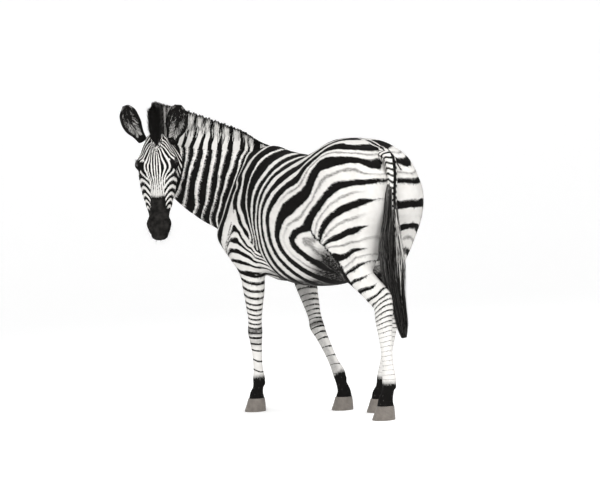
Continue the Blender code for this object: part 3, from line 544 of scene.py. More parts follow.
def mane_masses():
    return [Sweep([
        (0.0, 0.03, 1.268, 0.01, 0.02, 0.022),
        (0.012, -0.07, 1.278, 0.014, 0.03, 0.05),
        station(facing_point(-0.138, -0.112, 1.29), 0.017, 0.03, 0.096),
        station(facing_point(-0.272, -0.16, 1.31), 0.019, 0.03, 0.132),
        station(facing_point(-0.4, -0.15, 1.335), 0.02, 0.03, 0.157),
        station(facing_point(-0.48, -0.102, 1.355), 0.021, 0.03, 0.168),
        station(facing_point(-0.532, -0.03, 1.37), 0.023, 0.03, 0.17),
        station(facing_point(-0.552, 0.05, 1.378), 0.025, 0.03, 0.165),
        station(facing_point(-0.553, 0.098, 1.368), 0.027, 0.04, 0.155)],
        DOWN, (0.01, 0.02), 0.01, power=2.3, keel=0.3)]


def ear_masses(side):
    """A leaf-shaped cup that opens towards what the head looks at."""
    outward = FACE_LEFT * side
    base = head_point(*EAR_BASE[side])
    rise = unit(UP * 0.93 + outward * EAR_LEAN[side])
    opening = unit(FACE + outward * 0.15)
    shell = []
    hollow = []
    for height, half_width, depth, lean in (
            (0.0, 0.024, 0.024, 0.0), (0.03, 0.03, 0.024, 0.004), (0.075, 0.047, 0.022, 0.01),
            (0.12, 0.049, 0.016, 0.008), (0.16, 0.04, 0.01, 0.0), (0.186, 0.021, 0.005, -0.004)):
        half_width *= EAR_BREADTH[side]
        place = base + rise * height + outward * lean
        shell.append(station(place, half_width, depth, depth))
        if height > 0.02:
            inner = place + rise * 0.004 + opening * (0.012 + depth * 0.55)
            hollow.append(station(inner, max(half_width - 0.008, 0.004), depth + 0.008, depth + 0.002))
    outer = Sweep(shell, opening, (0.01, 0.006), 0.008)
    return [Cup(outer, Sweep(hollow, opening, (0.03, 0.004), 0.008))]


print("the flesh is a blend of", len(flesh_masses()), "masses")

# %% [markdown]
# Eyes of a grazing animal sit at the sides of the head in heavy lids. A ball of flesh slightly larger
# than the eyeball makes the lids, and an almond is taken out of it. Nostrils are soft pits.

# %% Lids and nostrils
class Knob:
    """A round mass, used for lids and bony bumps."""

    def __init__(self, centre, radius, blend):
        self.centre = np.asarray(centre, float)
        self.radius = radius
        self.blend = blend
        self.low = self.centre - radius
        self.high = self.centre + radius

    def distance(self, p):
        return np.linalg.norm(p - self.centre, axis=1) - self.radius


EYE_CENTRE = {}
EYE_LOOK = {}
for word, side in SIDES:
    low, high = (np.array(corner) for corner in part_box("eye_" + word))
    EYE_CENTRE[side] = (low + high) / 2 - HOME
    EYE_LOOK[side] = unit(BROW * 0.6 + FACE_LEFT * side * 0.78)
LID = 0.0046                 # how thick the lids stand over the eyeball
ALMOND_LENGTH = 0.02         # half the length of the gap between the lids
ALMOND_UP = 0.0125           # how high the upper lid lifts
ALMOND_DOWN = 0.0095


def eye_axes(side):
    """Along the gap between the lids, and across it towards the brow."""
    look = EYE_LOOK[side]
    along = unit(NOSE - look * (NOSE @ look) - BROW * 0.15)
    lift = unit(np.cross(along, look) * side)
    return along, lift


def lid_gap(p, side):
    """Negative in the almond in front of the eyeball's middle."""
    q = p - EYE_CENTRE[side]
    along, lift = eye_axes(side)
    u = q @ along
    v = q @ lift
    room = 1 - (u / ALMOND_LENGTH) ** 2
    gap = np.where(v > 0, v - ALMOND_UP * room, -v - ALMOND_DOWN * room)
    shell = EYE_RADIUS - 0.0045 - np.linalg.norm(q, axis=1)
    behind = 0.006 - q @ EYE_LOOK[side]
    return np.maximum(np.maximum(gap * 0.8, shell), behind)


def detail_masses():
    masses = [Knob(EYE_CENTRE[s] - EYE_LOOK[s] * 0.001, EYE_RADIUS + LID, 0.01) for s in (1, -1)]
    for leg in (FORE_LEFT, FORE_RIGHT):
        elbow, carpus, fetlock = (vec(*leg[k]) for k in ("elbow", "carpus", "fetlock"))
        masses.append(Knob(elbow + (leg["side"] * 0.012, 0.052, 0.035), 0.026, 0.04))
        masses.append(Knob(carpus + (0, 0.03, -0.004), 0.013, 0.018))
        masses.append(Knob(fetlock + (0, 0.03, -0.01), 0.012, 0.016))
    for leg in (HIND_LEFT, HIND_RIGHT):
        stifle, hock, fetlock = (vec(*leg[k]) for k in ("stifle", "hock", "fetlock"))
        masses.append(Knob(stifle + (leg["side"] * 0.028, -0.01, 0.005), 0.04, 0.05))
        masses.append(Knob(hock + (-leg["side"] * 0.014, -0.018, -0.01), 0.024, 0.02))
        masses.append(Knob(fetlock + (0, 0.032, -0.01), 0.012, 0.016))
        masses.append(Knob((leg["side"] * 0.19, 0.56, 1.145), 0.03, 0.07))
    return masses


def nostril_pits():
    pits = []
    for s in (1, -1):
        rows = ((0.434, -0.046, 0.036, 0.0045), (0.446, -0.047, 0.048, 0.007), (0.459, -0.056, 0.057, 0.0085),
                (0.468, -0.068, 0.058, 0.0075), (0.47, -0.08, 0.052, 0.004))
        line = [station(head_point(a, o, s * w), r, r, r) for a, o, w, r in rows]
        pits.append(Sweep(line, BROW, (0.004, 0.004), 0.004))
    return pits


MOUTH_LINE = ((0.38, -0.1), (0.43, -0.109), (0.47, -0.114), (0.53, -0.118))
LIP_GROOVE = 0.004           # how deep the lips part
LIP_ROUND = 0.0032           # how far that groove reaches to each side

FLESH = flesh_masses() + detail_masses()
PITS = nostril_pits()
print("with lids and knobs it has", len(FLESH), "masses, and", len(PITS), "pits for the nostrils")


def read(pairs, x):
    """A line through pairs, whichever way they run."""
    pairs = np.array(sorted(pairs))
    return np.interp(x, pairs[:, 0], pairs[:, 1])


def ramp(low, high, x):
    t = np.clip((x - low) / (high - low), 0, 1)
    return t * t * (3 - 2 * t)


def head_frame(p):
    """Down the nose, out of the brow, to the left."""
    q = p - POLL
    return q @ NOSE, q @ BROW, q @ FACE_LEFT


def skin_distance(p):
    """The distance to the finished skin, lids and nostrils included."""
    d = blended(FLESH, p)
    for s in (1, -1):
        near = np.flatnonzero(np.linalg.norm(p - EYE_CENTRE[s], axis=1) < 0.06)
        d[near] = -smooth_min(-d[near], lid_gap(p[near], s), 0.0015)
    for pit in PITS:
        near = np.flatnonzero(((p > pit.low - 0.02) & (p < pit.high + 0.02)).all(1))
        d[near] = -smooth_min(-d[near], pit.distance(p[near]), 0.005)
    down_nose, out, side = head_frame(p)
    off_mouth = (out - read(MOUTH_LINE, down_nose)) / LIP_ROUND
    lips = ramp(0.385, 0.415, down_nose) * (np.abs(side) < 0.09) * (out > -0.2)
    return d + LIP_GROOVE * lips * np.exp(-np.clip(off_mouth**2, 0, 40))


# %% [markdown]
# The skin lies under the coat, deeper on the trunk than on the face and the feet. It starts as a
# surface net, gets smaller faces on the head, smaller still at eyes and muzzle, and every vertex is
# then pulled onto the form.

# %% The skin's mesh
def coat_depth(p):
    """How deep the skin lies under the coat's tips."""
    down_nose, _, side = head_frame(p)
    on_head = ramp(-0.1, 0.02, down_nose) * (np.abs(side) < 0.14) * (p[:, 2] > 0.8)
    on_foot = ramp(0.62, 0.4, p[:, 2])
    return COAT + (FACE_COAT - COAT) * np.maximum(on_head, on_foot)


def mesh_object(name, points, faces, smooth=True):
    """A mesh object from points in the body's frame; all faces have the same number of corners."""
    faces = np.asarray(faces)
    mesh = bpy.data.meshes.new(name)
    mesh.vertices.add(len(points))
    mesh.vertices.foreach_set("co", (np.asarray(points) + HOME).astype(np.float32).ravel())
    mesh.loops.add(faces.size)
    mesh.loops.foreach_set("vertex_index", faces.astype(np.int32).ravel())
    mesh.polygons.add(len(faces))
    mesh.polygons.foreach_set("loop_start", np.arange(0, faces.size, faces.shape[1], dtype=np.int32))
    mesh.update(calc_edges=True)
    mesh.polygons.foreach_set("use_smooth", np.full(len(faces), smooth))
    obj = bpy.data.objects.new(name, mesh)
    bpy.context.scene.collection.objects.link(obj)
    return obj


def vertex_places(obj):
    """The places of a mesh's vertices in the body's frame."""
    out = np.zeros(len(obj.data.vertices) * 3)
    obj.data.vertices.foreach_get("co", out)
    return out.reshape(-1, 3) - HOME


def vertex_normals(obj):
    out = np.zeros(len(obj.data.vertices) * 3)
    obj.data.vertex_normals.foreach_get("vector", out)
    return out.reshape(-1, 3)


def move_vertices(obj, points):
    obj.data.vertices.foreach_set("co", (points + HOME).astype(np.float32).ravel())
    obj.data.update()


PULL = 0.85                  # the share of the way that each step goes, for an even mesh


def pull_onto_form(obj, off_at, most):
    """Bring the vertices to where off_at is zero, each step by at most so much."""
    for _ in range(3):
        p = vertex_places(obj)
        step = np.clip(off_at(p), -most, most)[:, None]
        move_vertices(obj, p - vertex_normals(obj) * step * PULL)


def refine(obj, wanted):
    """Split each face whose middle is wanted into four."""
    bm = bmesh.new()
    bm.from_mesh(obj.data)
    middles = np.array([f.calc_center_median() for f in bm.faces]) - HOME
    edges = {e for f, flag in zip(bm.faces, wanted(middles)) if flag for e in f.edges}
    bmesh.ops.subdivide_edges(bm, edges=list(edges), cuts=1, use_grid_fill=True)
    bmesh.ops.triangulate(bm, faces=[f for f in bm.faces if len(f.verts) > 4])
    bm.to_mesh(obj.data)
    bm.free()
    obj.data.polygons.foreach_set("use_smooth", np.full(len(obj.data.polygons), True))


def on_head(p):
    down_nose, out, side = head_frame(p)
    return (down_nose > -0.03) & (np.abs(side) < 0.13) & (out > -0.26) & (out < 0.08) & (p[:, 2] > 0.8)


def at_eyes_or_muzzle(p):
    down_nose = head_frame(p)[0]
    eyes = [np.linalg.norm(p - EYE_CENTRE[s], axis=1) < 0.04 for s in (1, -1)]
    return eyes[0] | eyes[1] | (on_head(p) & (down_nose > 0.4))


def at_fine_marks(p):
    """Where the marks are finer than the body's faces: over the forelegs and round hocks and knees."""
    over_foreleg = (np.abs(p[:, 0]) > 0.1) & (p[:, 1] > -0.16) & (p[:, 1] < 0.17) & (p[:, 2] < 0.98)
    return over_foreleg & (p[:, 2] > 0.66) | (p[:, 2] < 0.7)


def build_skin():
    points, quads = surface(FLESH, CELL)
    skin = mesh_object("skin", points, quads)
    refine(skin, on_head)
    refine(skin, at_eyes_or_muzzle)
    refine(skin, at_fine_marks)
    pull_onto_form(skin, lambda p: skin_distance(p) + coat_depth(p), 0.006)
    p = vertex_places(skin)
    p[:, 2] = np.maximum(p[:, 2], CORONET_HEIGHT - 0.006)
    move_vertices(skin, p)
    return skin


skin = build_skin()
print("skin", len(skin.data.vertices), "vertices,", len(skin.data.polygons), "faces")


# %% [markdown]
# Stripes are easiest to place on an unbent animal. A line runs from the tail through the trunk and up
# the bent neck. Every point of the body then has a distance along that line from the withers, a
# height over it and a distance to its side. The legs and the head have such charts of their own.

# %% Charts of body, legs and head
def body_line():
    rows = [(0, 1.1, 1.04), (0, 0.9, 1.04), (0, 0.6, 1.01), (0, 0.3, 1.0), (0, 0.06, 1.02),
            (0.008, -0.052, 1.06), facing_point(-0.141, -0.114, 1.105), facing_point(-0.284, -0.165, 1.148),
            facing_point(-0.415, -0.155, 1.2), facing_point(-0.5, -0.098, 1.245),
            facing_point(-0.545, -0.02, 1.278), facing_point(-0.56, 0.06, 1.31)]
    return Sweep([station(row, 0.1, 0.1, 0.1) for row in rows], DOWN, (0.1, 0.1), 0.1, steps=8)


BODY_LINE = body_line()
WITHERS = BODY_LINE.chart(np.array([[0.0, 0.0, 1.0]]))[0][0]


def body_chart(p):
    """Forward from the withers along the back, height over the line, distance to the left."""
    along, depth, across = BODY_LINE.chart(p)
    return along - WITHERS, -depth, -across


def leg_line(leg):
    joints = [leg[name] for name in ("elbow", "carpus", "stifle", "hock", "fetlock") if name in leg]
    joints.append((*leg["hoof"], 0.03))
    return Sweep([station(j, 0.1, 0.1, 0.1) for j in joints], AHEAD, (0.1, 0.1), 0.1, steps=6)


LEG_LINES = [(leg, leg_line(leg)) for leg in (FORE_LEFT, FORE_RIGHT, HIND_LEFT, HIND_RIGHT)]
print("the line from tail to throat is", round(float(BODY_LINE.at[-1]), 3), "m long")

# %% [markdown]
# The bands of neck, shoulder, barrel and rump belong to one count: band 0 is the innermost bow at the
# flank, and the count rises forward to the throat. Each band is drawn by a few points of its middle,
# and halves are white lines. A thin-plate spline makes one smooth count of them for the whole body,
# and black lies where the count is near a whole number.

# %% The bands of the trunk and neck
TRUNK_BANDS = in_metres({
    0: [(-940, 60), (-850, 55), (-800, 45), (-750, 20), (-690, -20), (-620, -70), (-600, -95),
        (-560, -115), (-510, -125), (-480, -140), (-465, -160), (-465, -190), (-485, -220), (-505, -245),
        (-530, -270), (-565, -295)],
    -0.5: [(-540, -155), (-565, -185), (-590, -210)],
    1: [(-930, 110), (-880, 150), (-790, 167), (-700, 170), (-660, 145), (-605, 50), (-550, 30),
        (-460, -20), (-390, -80), (-360, -150), (-370, -220), (-420, -290), (-480, -360)],
    2: [(-900, 185), (-840, 215), (-805, 226), (-770, 235), (-720, 242), (-650, 238), (-590, 205),
        (-540, 150), (-440, 100), (-360, 40), (-310, -30), (-300, -110), (-300, -180), (-320, -250),
        (-360, -320)],
    2.5: [(-800, 245), (-780, 250), (-750, 262), (-700, 265)],
    3: [(-760, 268), (-710, 282), (-660, 275), (-580, 250), (-490, 200), (-410, 160), (-330, 110),
        (-280, 40), (-250, -30), (-240, -110), (-240, -180), (-250, -250), (-280, -330)],
    4: [(-340, 230), (-290, 190), (-250, 140), (-230, 80), (-210, -20), (-200, -120), (-190, -200),
        (-190, -280)],
    5: [(-260, 250), (-220, 200), (-200, 140), (-180, 80), (-170, -20), (-160, -120), (-150, -200),
        (-150, -280)],
    6: [(-60, 230), (-50, 160), (-60, 90), (-90, 20), (-110, -40), (-130, -100)],
    7: [(50, 250), (70, 190), (40, 120), (-10, 50), (-40, -10), (-80, -60), (-110, -120)],
    7.5: [(100, 230), (110, 160), (60, 80), (20, 10), (-10, -40), (-50, -90), (-100, -150)],
    8: [(160, 210), (170, 140), (130, 70), (80, 10), (40, -50), (-10, -80)],
    8.5: [(200, 180), (180, 120), (120, 55), (105, -50), (90, -150), (90, -230)],
    9.5: [(225, 180), (207, 85), (195, -10), (215, -110), (205, -180)],
    10.5: [(280, 180), (262, 120), (263, 35), (277, -65), (295, -185)],
    11.5: [(355, 180), (333, 95), (323, 35), (314, -20), (320, -90), (330, -200)],
    12.5: [(420, 180), (397, 87), (387, 20), (375, -50), (368, -125), (372, -155)],
    13.5: [(475, 180), (460, 120), (455, 45), (448, -20), (430, -90), (413, -140)],
    14.5: [(520, 180), (519, 110), (526, 10), (512, -55), (484, -135)],
    15.5: [(570, 180), (570, 80), (570, 0), (550, -80)],
    17.5: [(650, 160), (650, 60), (640, -40)],
})
# How much of a band is black, along the back and over it.
BLACK_SHARE = in_metres({
    0.2: [(-910, 65)],
    0.3: [(-810, 45), (-470, -170)],
    0.36: [(-700, -20), (-500, -240)],
    0.45: [(-600, -90), (-420, -290), (-560, -290)],
    0.47: [(-800, 160), (-700, 170)],
    0.5: [(-360, -150), (-310, -30), (-300, -200), (-250, -50), (-240, -200)],
    0.53: [(-640, 100), (-550, 30), (-750, 235), (-650, 240), (-460, -20)],
    0.56: [(-440, 100), (-240, 120), (-210, -20), (-200, -200)],
    0.62: [(-490, 200), (-350, 120), (-200, 140), (-170, -20), (-120, -60), (20, 30), (-30, -60)],
    0.84: [(-50, 150), (0, 100), (-80, 40), (320, -150)],
    0.72: [(100, 200), (160, 150), (120, 0)],
    0.66: [(90, -130), (260, 100), (330, 100), (400, 90), (460, 90), (530, 90)],
    0.74: [(270, -20), (300, -150), (330, 0), (380, -120), (430, -100), (500, -80)],
    0.7: [(390, 0), (450, 0), (530, 0), (-710, 282)],
    0.52: [(280, 175), (360, 175), (420, 175), (480, 175), (540, 175)],
})


class Count:
    """A smooth value through points of known value in a chart of two axes."""

    def __init__(self, places_by_value, ease=1e-5):
        self.points = np.array([place for places in places_by_value.values() for place in places], float)
        values = [value for value, places in places_by_value.items() for _ in places]
        n = len(self.points)
        matrix = np.zeros((n + 3, n + 3))
        matrix[:n, :n] = self.bend(self.points) + np.eye(n) * ease
        matrix[:n, n] = matrix[n, :n] = 1
        matrix[:n, n + 1:] = self.points
        matrix[n + 1:, :n] = self.points.T
        self.weights = np.linalg.solve(matrix, np.concatenate([values, np.zeros(3)]))

    def bend(self, at):
        squared = ((at[:, None] - self.points[None]) ** 2).sum(2)
        return 0.5 * squared * np.log(squared + 1e-12)

    def __call__(self, at):
        n = len(self.points)
        out = np.empty(len(at))
        for start in range(0, len(at), 20000):
            part = at[start:start + 20000]
            out[start:start + 20000] = self.bend(part) @ self.weights[:n] + self.weights[n] \
                + part @ self.weights[n + 1:]
        return out


trunk_count = Count(TRUNK_BANDS)
black_share = Count(BLACK_SHARE, ease=3e-4)
print("bands of the trunk drawn by", len(trunk_count.points), "points")


# %% [markdown]
# The thigh's bars carry the count on below band 0, down to the hock. They are placed down the slope
# from stifle to hock, so each leg gets them on its own joints. The shoulder's bands part over the
# foreleg, and pointed arches fill the gap down to the elbow, where rings begin.

# %% The bars and rings of the legs
THIGH_TOP = [(-0.94, 0.06), (-0.85, 0.055), (-0.8, 0.045), (-0.75, 0.02), (-0.69, -0.02), (-0.62, -0.07),
             (-0.595, -0.1)]
THIGH_BARS = in_metres({
    -1: [(120, -370), (63, -290), (36, -243), (16, -185), (9, -135), (9, -90), (20, -50)],
    -2: [(175, -270), (130, -195), (87, -140), (58, -93), (45, -66), (30, -10)],
    -3: [(235, -190), (198, -144), (148, -64), (125, -37), (90, 10)],
    -4: [(257, -123), (232, -53), (215, -22), (190, 30)],
    -5: [(310, -110), (284, -46), (260, -5), (230, 50)],
    -6: [(360, -79), (336, -29), (315, 0), (290, 50)],
    -7: [(400, -65), (393, -23), (375, 10), (350, 50)],
    -8: [(433, -56), (420, -9), (400, 30)],
    -9: [(452, -54), (443, -25), (430, 10)],
    -10: [(475, -50), (470, -20), (455, 10)],
})
ARCHES = in_metres({
    -0.5: [(42, -62), (28, -100), (30, -146), (34, -190), (35, -215), (2, -104), (-31, -127),
           (-70, -165), (-103, -195), (-135, -228)],
    0: [(10, -135), (-4, -138), (-40, -165), (-75, -200), (-112, -228)],
    0.5: [(16, -185), (1, -168), (-22, -158), (-35, -171), (-47, -187)],
    1: [(20, -214), (-6, -192), (-28, -192), (-60, -208), (-92, -225), (-122, -248)],
    1.5: [(15, -236), (-8, -222), (-27, -213), (-45, -218), (-73, -229), (-101, -243), (-127, -260)],
    2: [(5, -253), (-26, -238), (-48, -237), (-74, -248), (-104, -258), (-130, -272)],
    3: [(-16, -295), (-57, -285), (-84, -283), (-102, -288), (-125, -300)],
    4: [(-20, -333), (-59, -330), (-83, -325), (-120, -330)],
    5: [(-40, -370), (-90, -366), (-120, -366)],
})
RINGS = ((-0.02, 3.1), (0.012, 4), (0.047, 5), (0.089, 6), (0.124, 7), (0.159, 8), (0.187, 9), (0.216, 10),
         (0.24, 11), (0.265, 12), (0.288, 13), (0.313, 14), (0.337, 15), (0.4, 17), (0.5, 19), (0.7, 23))
GROIN = ((-0.1, -0.59), (-0.155, -0.61), (-0.185, -0.631), (-0.217, -0.652), (-0.265, -0.683),
         (-0.32, -0.713), (-0.384, -0.736))
SHOULDER_REAR = ((-0.06, 0.03), (-0.104, -0.012), (-0.127, -0.042), (-0.165, -0.08), (-0.195, -0.113),
                 (-0.228, -0.143), (-0.3, -0.165), (-0.37, -0.18))
SHOULDER_FRONT = ((-0.06, 0.05), (-0.14, 0.042), (-0.2, 0.046), (-0.3, 0.07), (-0.4, 0.12))
LOWER_STEP = 0.021           # from ring to ring below the hock


def thigh_count(leg):
    """The count of a hind leg's bars in the body's chart."""
    bands = {0.0: list(THIGH_TOP)}
    start = vec(*leg["stifle"])[1:]
    slope = unit(vec(*leg["hock"])[1:] - start)
    ahead = np.array((slope[1], -slope[0]))
    for value, places in THIGH_BARS.items():
        spots = np.array([start + slope * down + ahead * front for down, front in places])
        spots = np.column_stack([np.full(len(spots), leg["side"] * 0.2), spots])
        s, h, _ = body_chart(spots)
        bands[value] = list(zip(s, h))
    return Count(bands)


THIGH_COUNTS = {leg["side"]: thigh_count(leg) for leg in (HIND_LEFT, HIND_RIGHT)}
arch_count = Count(ARCHES)
print("bars of a thigh drawn by", len(THIGH_COUNTS[1].points), "points, arches by", len(arch_count.points))


# %% [markdown]
# A count can't jump, but at the groin and over the foreleg one set of bands ends on another. So each
# count is kept as a point on a circle, black at one side and white at the other, and two sets are
# mixed over a centimetre. Beside it go the share of black, strokes that no count can give, such as
# the line in the groin, how strongly the faint shadow bands show, and dark_and_shade: the plain dark
# of belly, muzzle and feet, and painted shade in the groin and on the inner side of the forelegs.

# %% Marks of the trunk and legs
def turned(count):
    """A band count as a place on the circle."""
    return np.stack([np.cos(2 * np.pi * count), np.sin(2 * np.pi * count)], 1)


STROKE_EDGE = 0.004          # how far a stroke's edge fades


class Marks:
    """The bands, strokes, shadow bands, plain dark and painted shade at some places of the coat."""

    def __init__(self, p, count, share):
        self.root = p
        self.turn = turned(count)
        self.share = np.broadcast_to(share, (len(p),)) * 1.0
        self.stroke = np.zeros(len(p))
        self.shadow = np.zeros(len(p))
        # plain dark of belly, muzzle and feet, and painted shade in the groin and inside the forelegs
        self.dark_and_shade = np.zeros(len(p))

    def bring(self, weight, count, share, shadow=0.0, keep_strokes=True):
        """Mix in another set of bands."""
        w = np.clip(weight, 0, 1)
        self.turn = self.turn * (1 - w)[:, None] + turned(count) * w[:, None]
        self.share = self.share * (1 - w) + share * w
        self.shadow = self.shadow * (1 - w) + shadow * w
        if not keep_strokes:
            self.stroke = self.stroke * (1 - w)
            self.dark_and_shade = self.dark_and_shade * (1 - w)

    def black(self, inside, where=True):
        """Lay a black stroke where inside (metres from its edge) is positive."""
        level = np.clip(inside / STROKE_EDGE, -1, 1)
        self.stroke = np.where(where & (level > 0), np.maximum(self.stroke, level), self.stroke)

    def white(self, inside, where=True):
        level = np.clip(inside / STROKE_EDGE, -1, 1)
        self.stroke = np.where(where & (level > 0), -level, self.stroke)

    def darken(self, dark_and_shade):
        self.dark_and_shade = np.maximum(self.dark_and_shade, dark_and_shade)

    def layers(self):
        """What the shader reads at each place."""
        return {"bands": np.column_stack([self.turn, self.share]),
                "marks": np.column_stack([self.stroke, self.shadow, self.dark_and_shade]), "root": self.root}


def trunk_marks(p):
    s, h, side = body_chart(p)
    wave = np.where(side < 0, 1, 0)
    at = np.stack([s + wave * (0.012 * np.sin(9 * h + 1.0) + 0.006 * np.sin(31 * s)),
                   h + wave * 0.01 * np.sin(11 * s + 0.5)], 1)
    count = trunk_count(at)
    marks = Marks(p, count, np.clip(black_share(at), 0.2, 0.9))
    marks.shadow = ramp(-0.36, -0.5, s) * (count > -0.9) * (count < 2.4)
    marks.black(0.018 - np.hypot(s + 0.825, h - 0.235), np.abs(side) < 0.09)
    for leg in (HIND_LEFT, HIND_RIGHT):
        here = (p[:, 0] * leg["side"] >= 0) & (p[:, 1] > 0.28) & (p[:, 2] < 1.25)
        shift = 0 if leg["side"] == 1 else 0.11
        groin = read(GROIN, h) + shift * ramp(-0.1, -0.26, h)
        below = ramp(0.006, -0.006, s - groin)
        above = ramp(0.12, -0.12, count)
        bars = THIGH_COUNTS[leg["side"]](at)
        rear = ramp(0.86, 0.96, p[:, 1] - 0.4 * shift - 0.03 * (bars > -1.6) + 0.02 * (bars < -2.6)) \
            * ramp(0.04, -0.02, h) * ramp(0.58, 0.66, p[:, 2])
        share = np.where(bars > -1.6, 0.34, 0.29) + 0.08 * ramp(-4.5, -6.0, bars)
        share = share + 0.12 * ramp(-0.75, -0.66, s) * (bars > -3)
        shadow = 0.9 * (bars > -3.7) * ramp(-0.93, -0.84, s)
        marks.bring(here * np.where(h < -0.105, below, above), bars, share - 0.5 * rear, shadow)
        width = read(((-0.1, 0.01), (-0.2, 0.009), (-0.37, 0.007)), h)
        marks.black(width - np.abs(s - groin), here & (h < -0.1) & (h > -0.42))
        # painted shade: the lower flank in front of the groin line is darkened where the belly tucks up into
        # the thigh
        groin_shade = ramp(-0.02, -0.12, h + 0.2 + 0.55 * (s + 0.55)) * ramp(-0.005, 0.01, s - groin) \
            * ramp(-0.38, -0.5, s)
        marks.darken(here * groin_shade)
    marks.darken(ramp(-0.29, -0.34, h) * ramp(0.16, 0.11, np.abs(side))
                 * ramp(-0.76, -0.62, s) * ramp(0.1, -0.05, s) * 0.9)
    middle = side + 0.02 * ramp(-0.6, -0.78, s)
    on_back = (h > 0.1) & (s < 0.05)
    marks.white(0.024 - np.abs(middle), on_back & (s < -0.7))
    ridge = read(((-0.92, 0.01), (-0.7, 0.007), (-0.3, 0.008), (0.05, 0.01)), s)
    marks.black(ridge - np.abs(middle), on_back)
    marks.black(0.006 - np.abs(np.abs(middle) - 0.031), on_back & (s < -0.83))
    return marks, s, h, side


def shoulder_marks(marks, s, h, side):
    inside = np.minimum(s - read(SHOULDER_REAR, h), read(SHOULDER_FRONT, h) - s) + 0.007
    inside = np.where((h < -0.055) & (np.abs(side) > 0.06), inside, -1)
    share = 0.48 - 0.16 * ramp(-0.24, -0.33, h)
    marks.bring(ramp(-0.004, 0.004, inside), arch_count(np.stack([s, h], 1)), share)


def leg_marks(p, marks):
    """Rings and bars below elbow and stifle, told by each leg's own line; black feet, dark knees on the
    forelegs, and painted shade on their inner side.
    """
    for leg, line in LEG_LINES:
        t, front, across = line.chart(p)
        off = np.hypot(front, across)
        fore = "elbow" in leg
        mine = ramp(0.13, 0.12, off) * (p[:, 0] * leg["side"] > 0.03)
        inner = ramp(0.2, 0.9, -across * leg["side"] * np.sign(line.side[0][0]) / (off + 1e-3))
        length = line.at[-1]
        upper, lower = ("elbow", "carpus") if fore else ("stifle", "hock")
        knee = float(np.linalg.norm(np.subtract(leg[upper], leg[lower])))
        if fore:
            count = read(RINGS, t) + 0.25 * front / (off + 0.01)
            mine = mine * ramp(-0.005, 0.02, t)
            share = read(((0.0, 0.42), (0.15, 0.36), (knee - 0.05, 0.38), (knee + 0.03, 0.4),
                          (knee + 0.1, 0.16), (knee + 0.25, 0.12)), t)
            dark = 0.75 * ramp(0.03, 0.005, np.abs(t - knee + 0.005)) \
                + 0.35 * ramp(0.02, 0.05, t - knee) * ramp(0.09, 0.05, t - knee)
            # painted shade: the inner side of each foreleg is greyed, standing in for the shadow that falls on
            # it
            dark = np.maximum(dark, 0.42 * inner * (t > 0.02))
        else:
            count = -8 - (t - knee) / LOWER_STEP + 0.5 * front / (off + 0.02)
            mine = mine * ramp(knee - 0.025, knee + 0.01, t)
            share = read(((knee, 0.34), (knee + 0.08, 0.26), (knee + 0.14, 0.1), (knee + 0.3, 0.06)), t)
            dark = 0 * t
        share = share * (1 - 0.5 * inner * (t > 0.12))
        marks.bring(mine, count, share, 0.0, keep_strokes=False)
        foot = ramp(length - 0.165, length - 0.125, t + 0.25 * np.maximum(0, -front))
        marks.darken(mine * np.maximum(1.3 * foot, dark))


print("share of black on the back over the withers:", trunk_marks(vec((0, 0, 1.27)))[0].share.round(2))

# %% [markdown]
# On the face fine lines fan out from the forelock, widen to a diamond between the eyes and close
# again on the nose. Bold bows cross the cheeks. The muzzle is black, and so are the lids.

# %% Marks of the head
# The white lines of the face, each by a few points of (to the left, down the nose) from its middle.
FACE_LINES = in_metres({
    -8: [(-34, -25), (-46, -4), (-54, 11), (-63, 28), (-70, 46)],
    -7: [(-20, -14), (-31, 2), (-42, 18), (-53, 37), (-63, 58), (-68, 77)],
    -6: [(-20, 32), (-33, 41), (-45, 55), (-55, 70), (-61, 84), (-68, 100)],
    -5: [(-24, 50), (-36, 64), (-46, 80), (-55, 97), (-66, 118), (-75, 138)],
    -4: [(-9, 46), (-22, 63), (-30, 82), (-36, 102), (-44, 122), (-53, 141), (-60, 158), (-58, 173),
         (-50, 194), (-40, 219), (-34, 239)],
    -3: [(-34, 135), (-41, 150), (-43, 168), (-41, 189), (-35, 209), (-29, 230)],
    -2: [(-6, 66), (-15, 79), (-20, 97), (-24, 122), (-25, 148), (-25, 173), (-23, 199), (-19, 224)],
    -1: [(-4, 74), (-7, 88), (-10, 116), (-11, 143), (-10, 168), (-10, 194), (-8, 224)],
    0: [(1, 111), (2, 138), (2, 163), (2, 199), (2, 239)],
    1: [(5, 79), (7, 99), (11, 122), (14, 148), (16, 179), (16, 209), (13, 249)],
    2: [(10, 64), (15, 79), (20, 99), (25, 122), (33, 143), (41, 163), (39, 184), (32, 204), (26, 226),
        (24, 249)],
    3: [(15, 52), (24, 70), (32, 88), (42, 108), (52, 124), (59, 141), (63, 158), (62, 173), (53, 191),
        (43, 209), (35, 231)],
    4: [(23, 45), (35, 61), (50, 79), (62, 96), (72, 113), (78, 130)],
    5: [(23, 30), (38, 40), (50, 55), (62, 73), (72, 88), (78, 102)],
    6: [(28, 10), (40, 21), (52, 37), (62, 55), (72, 75)],
    7: [(36, -18), (48, 0), (57, 18), (67, 37), (77, 58)],
    8: [(58, -2), (65, 8), (72, 21), (80, 39)],
})
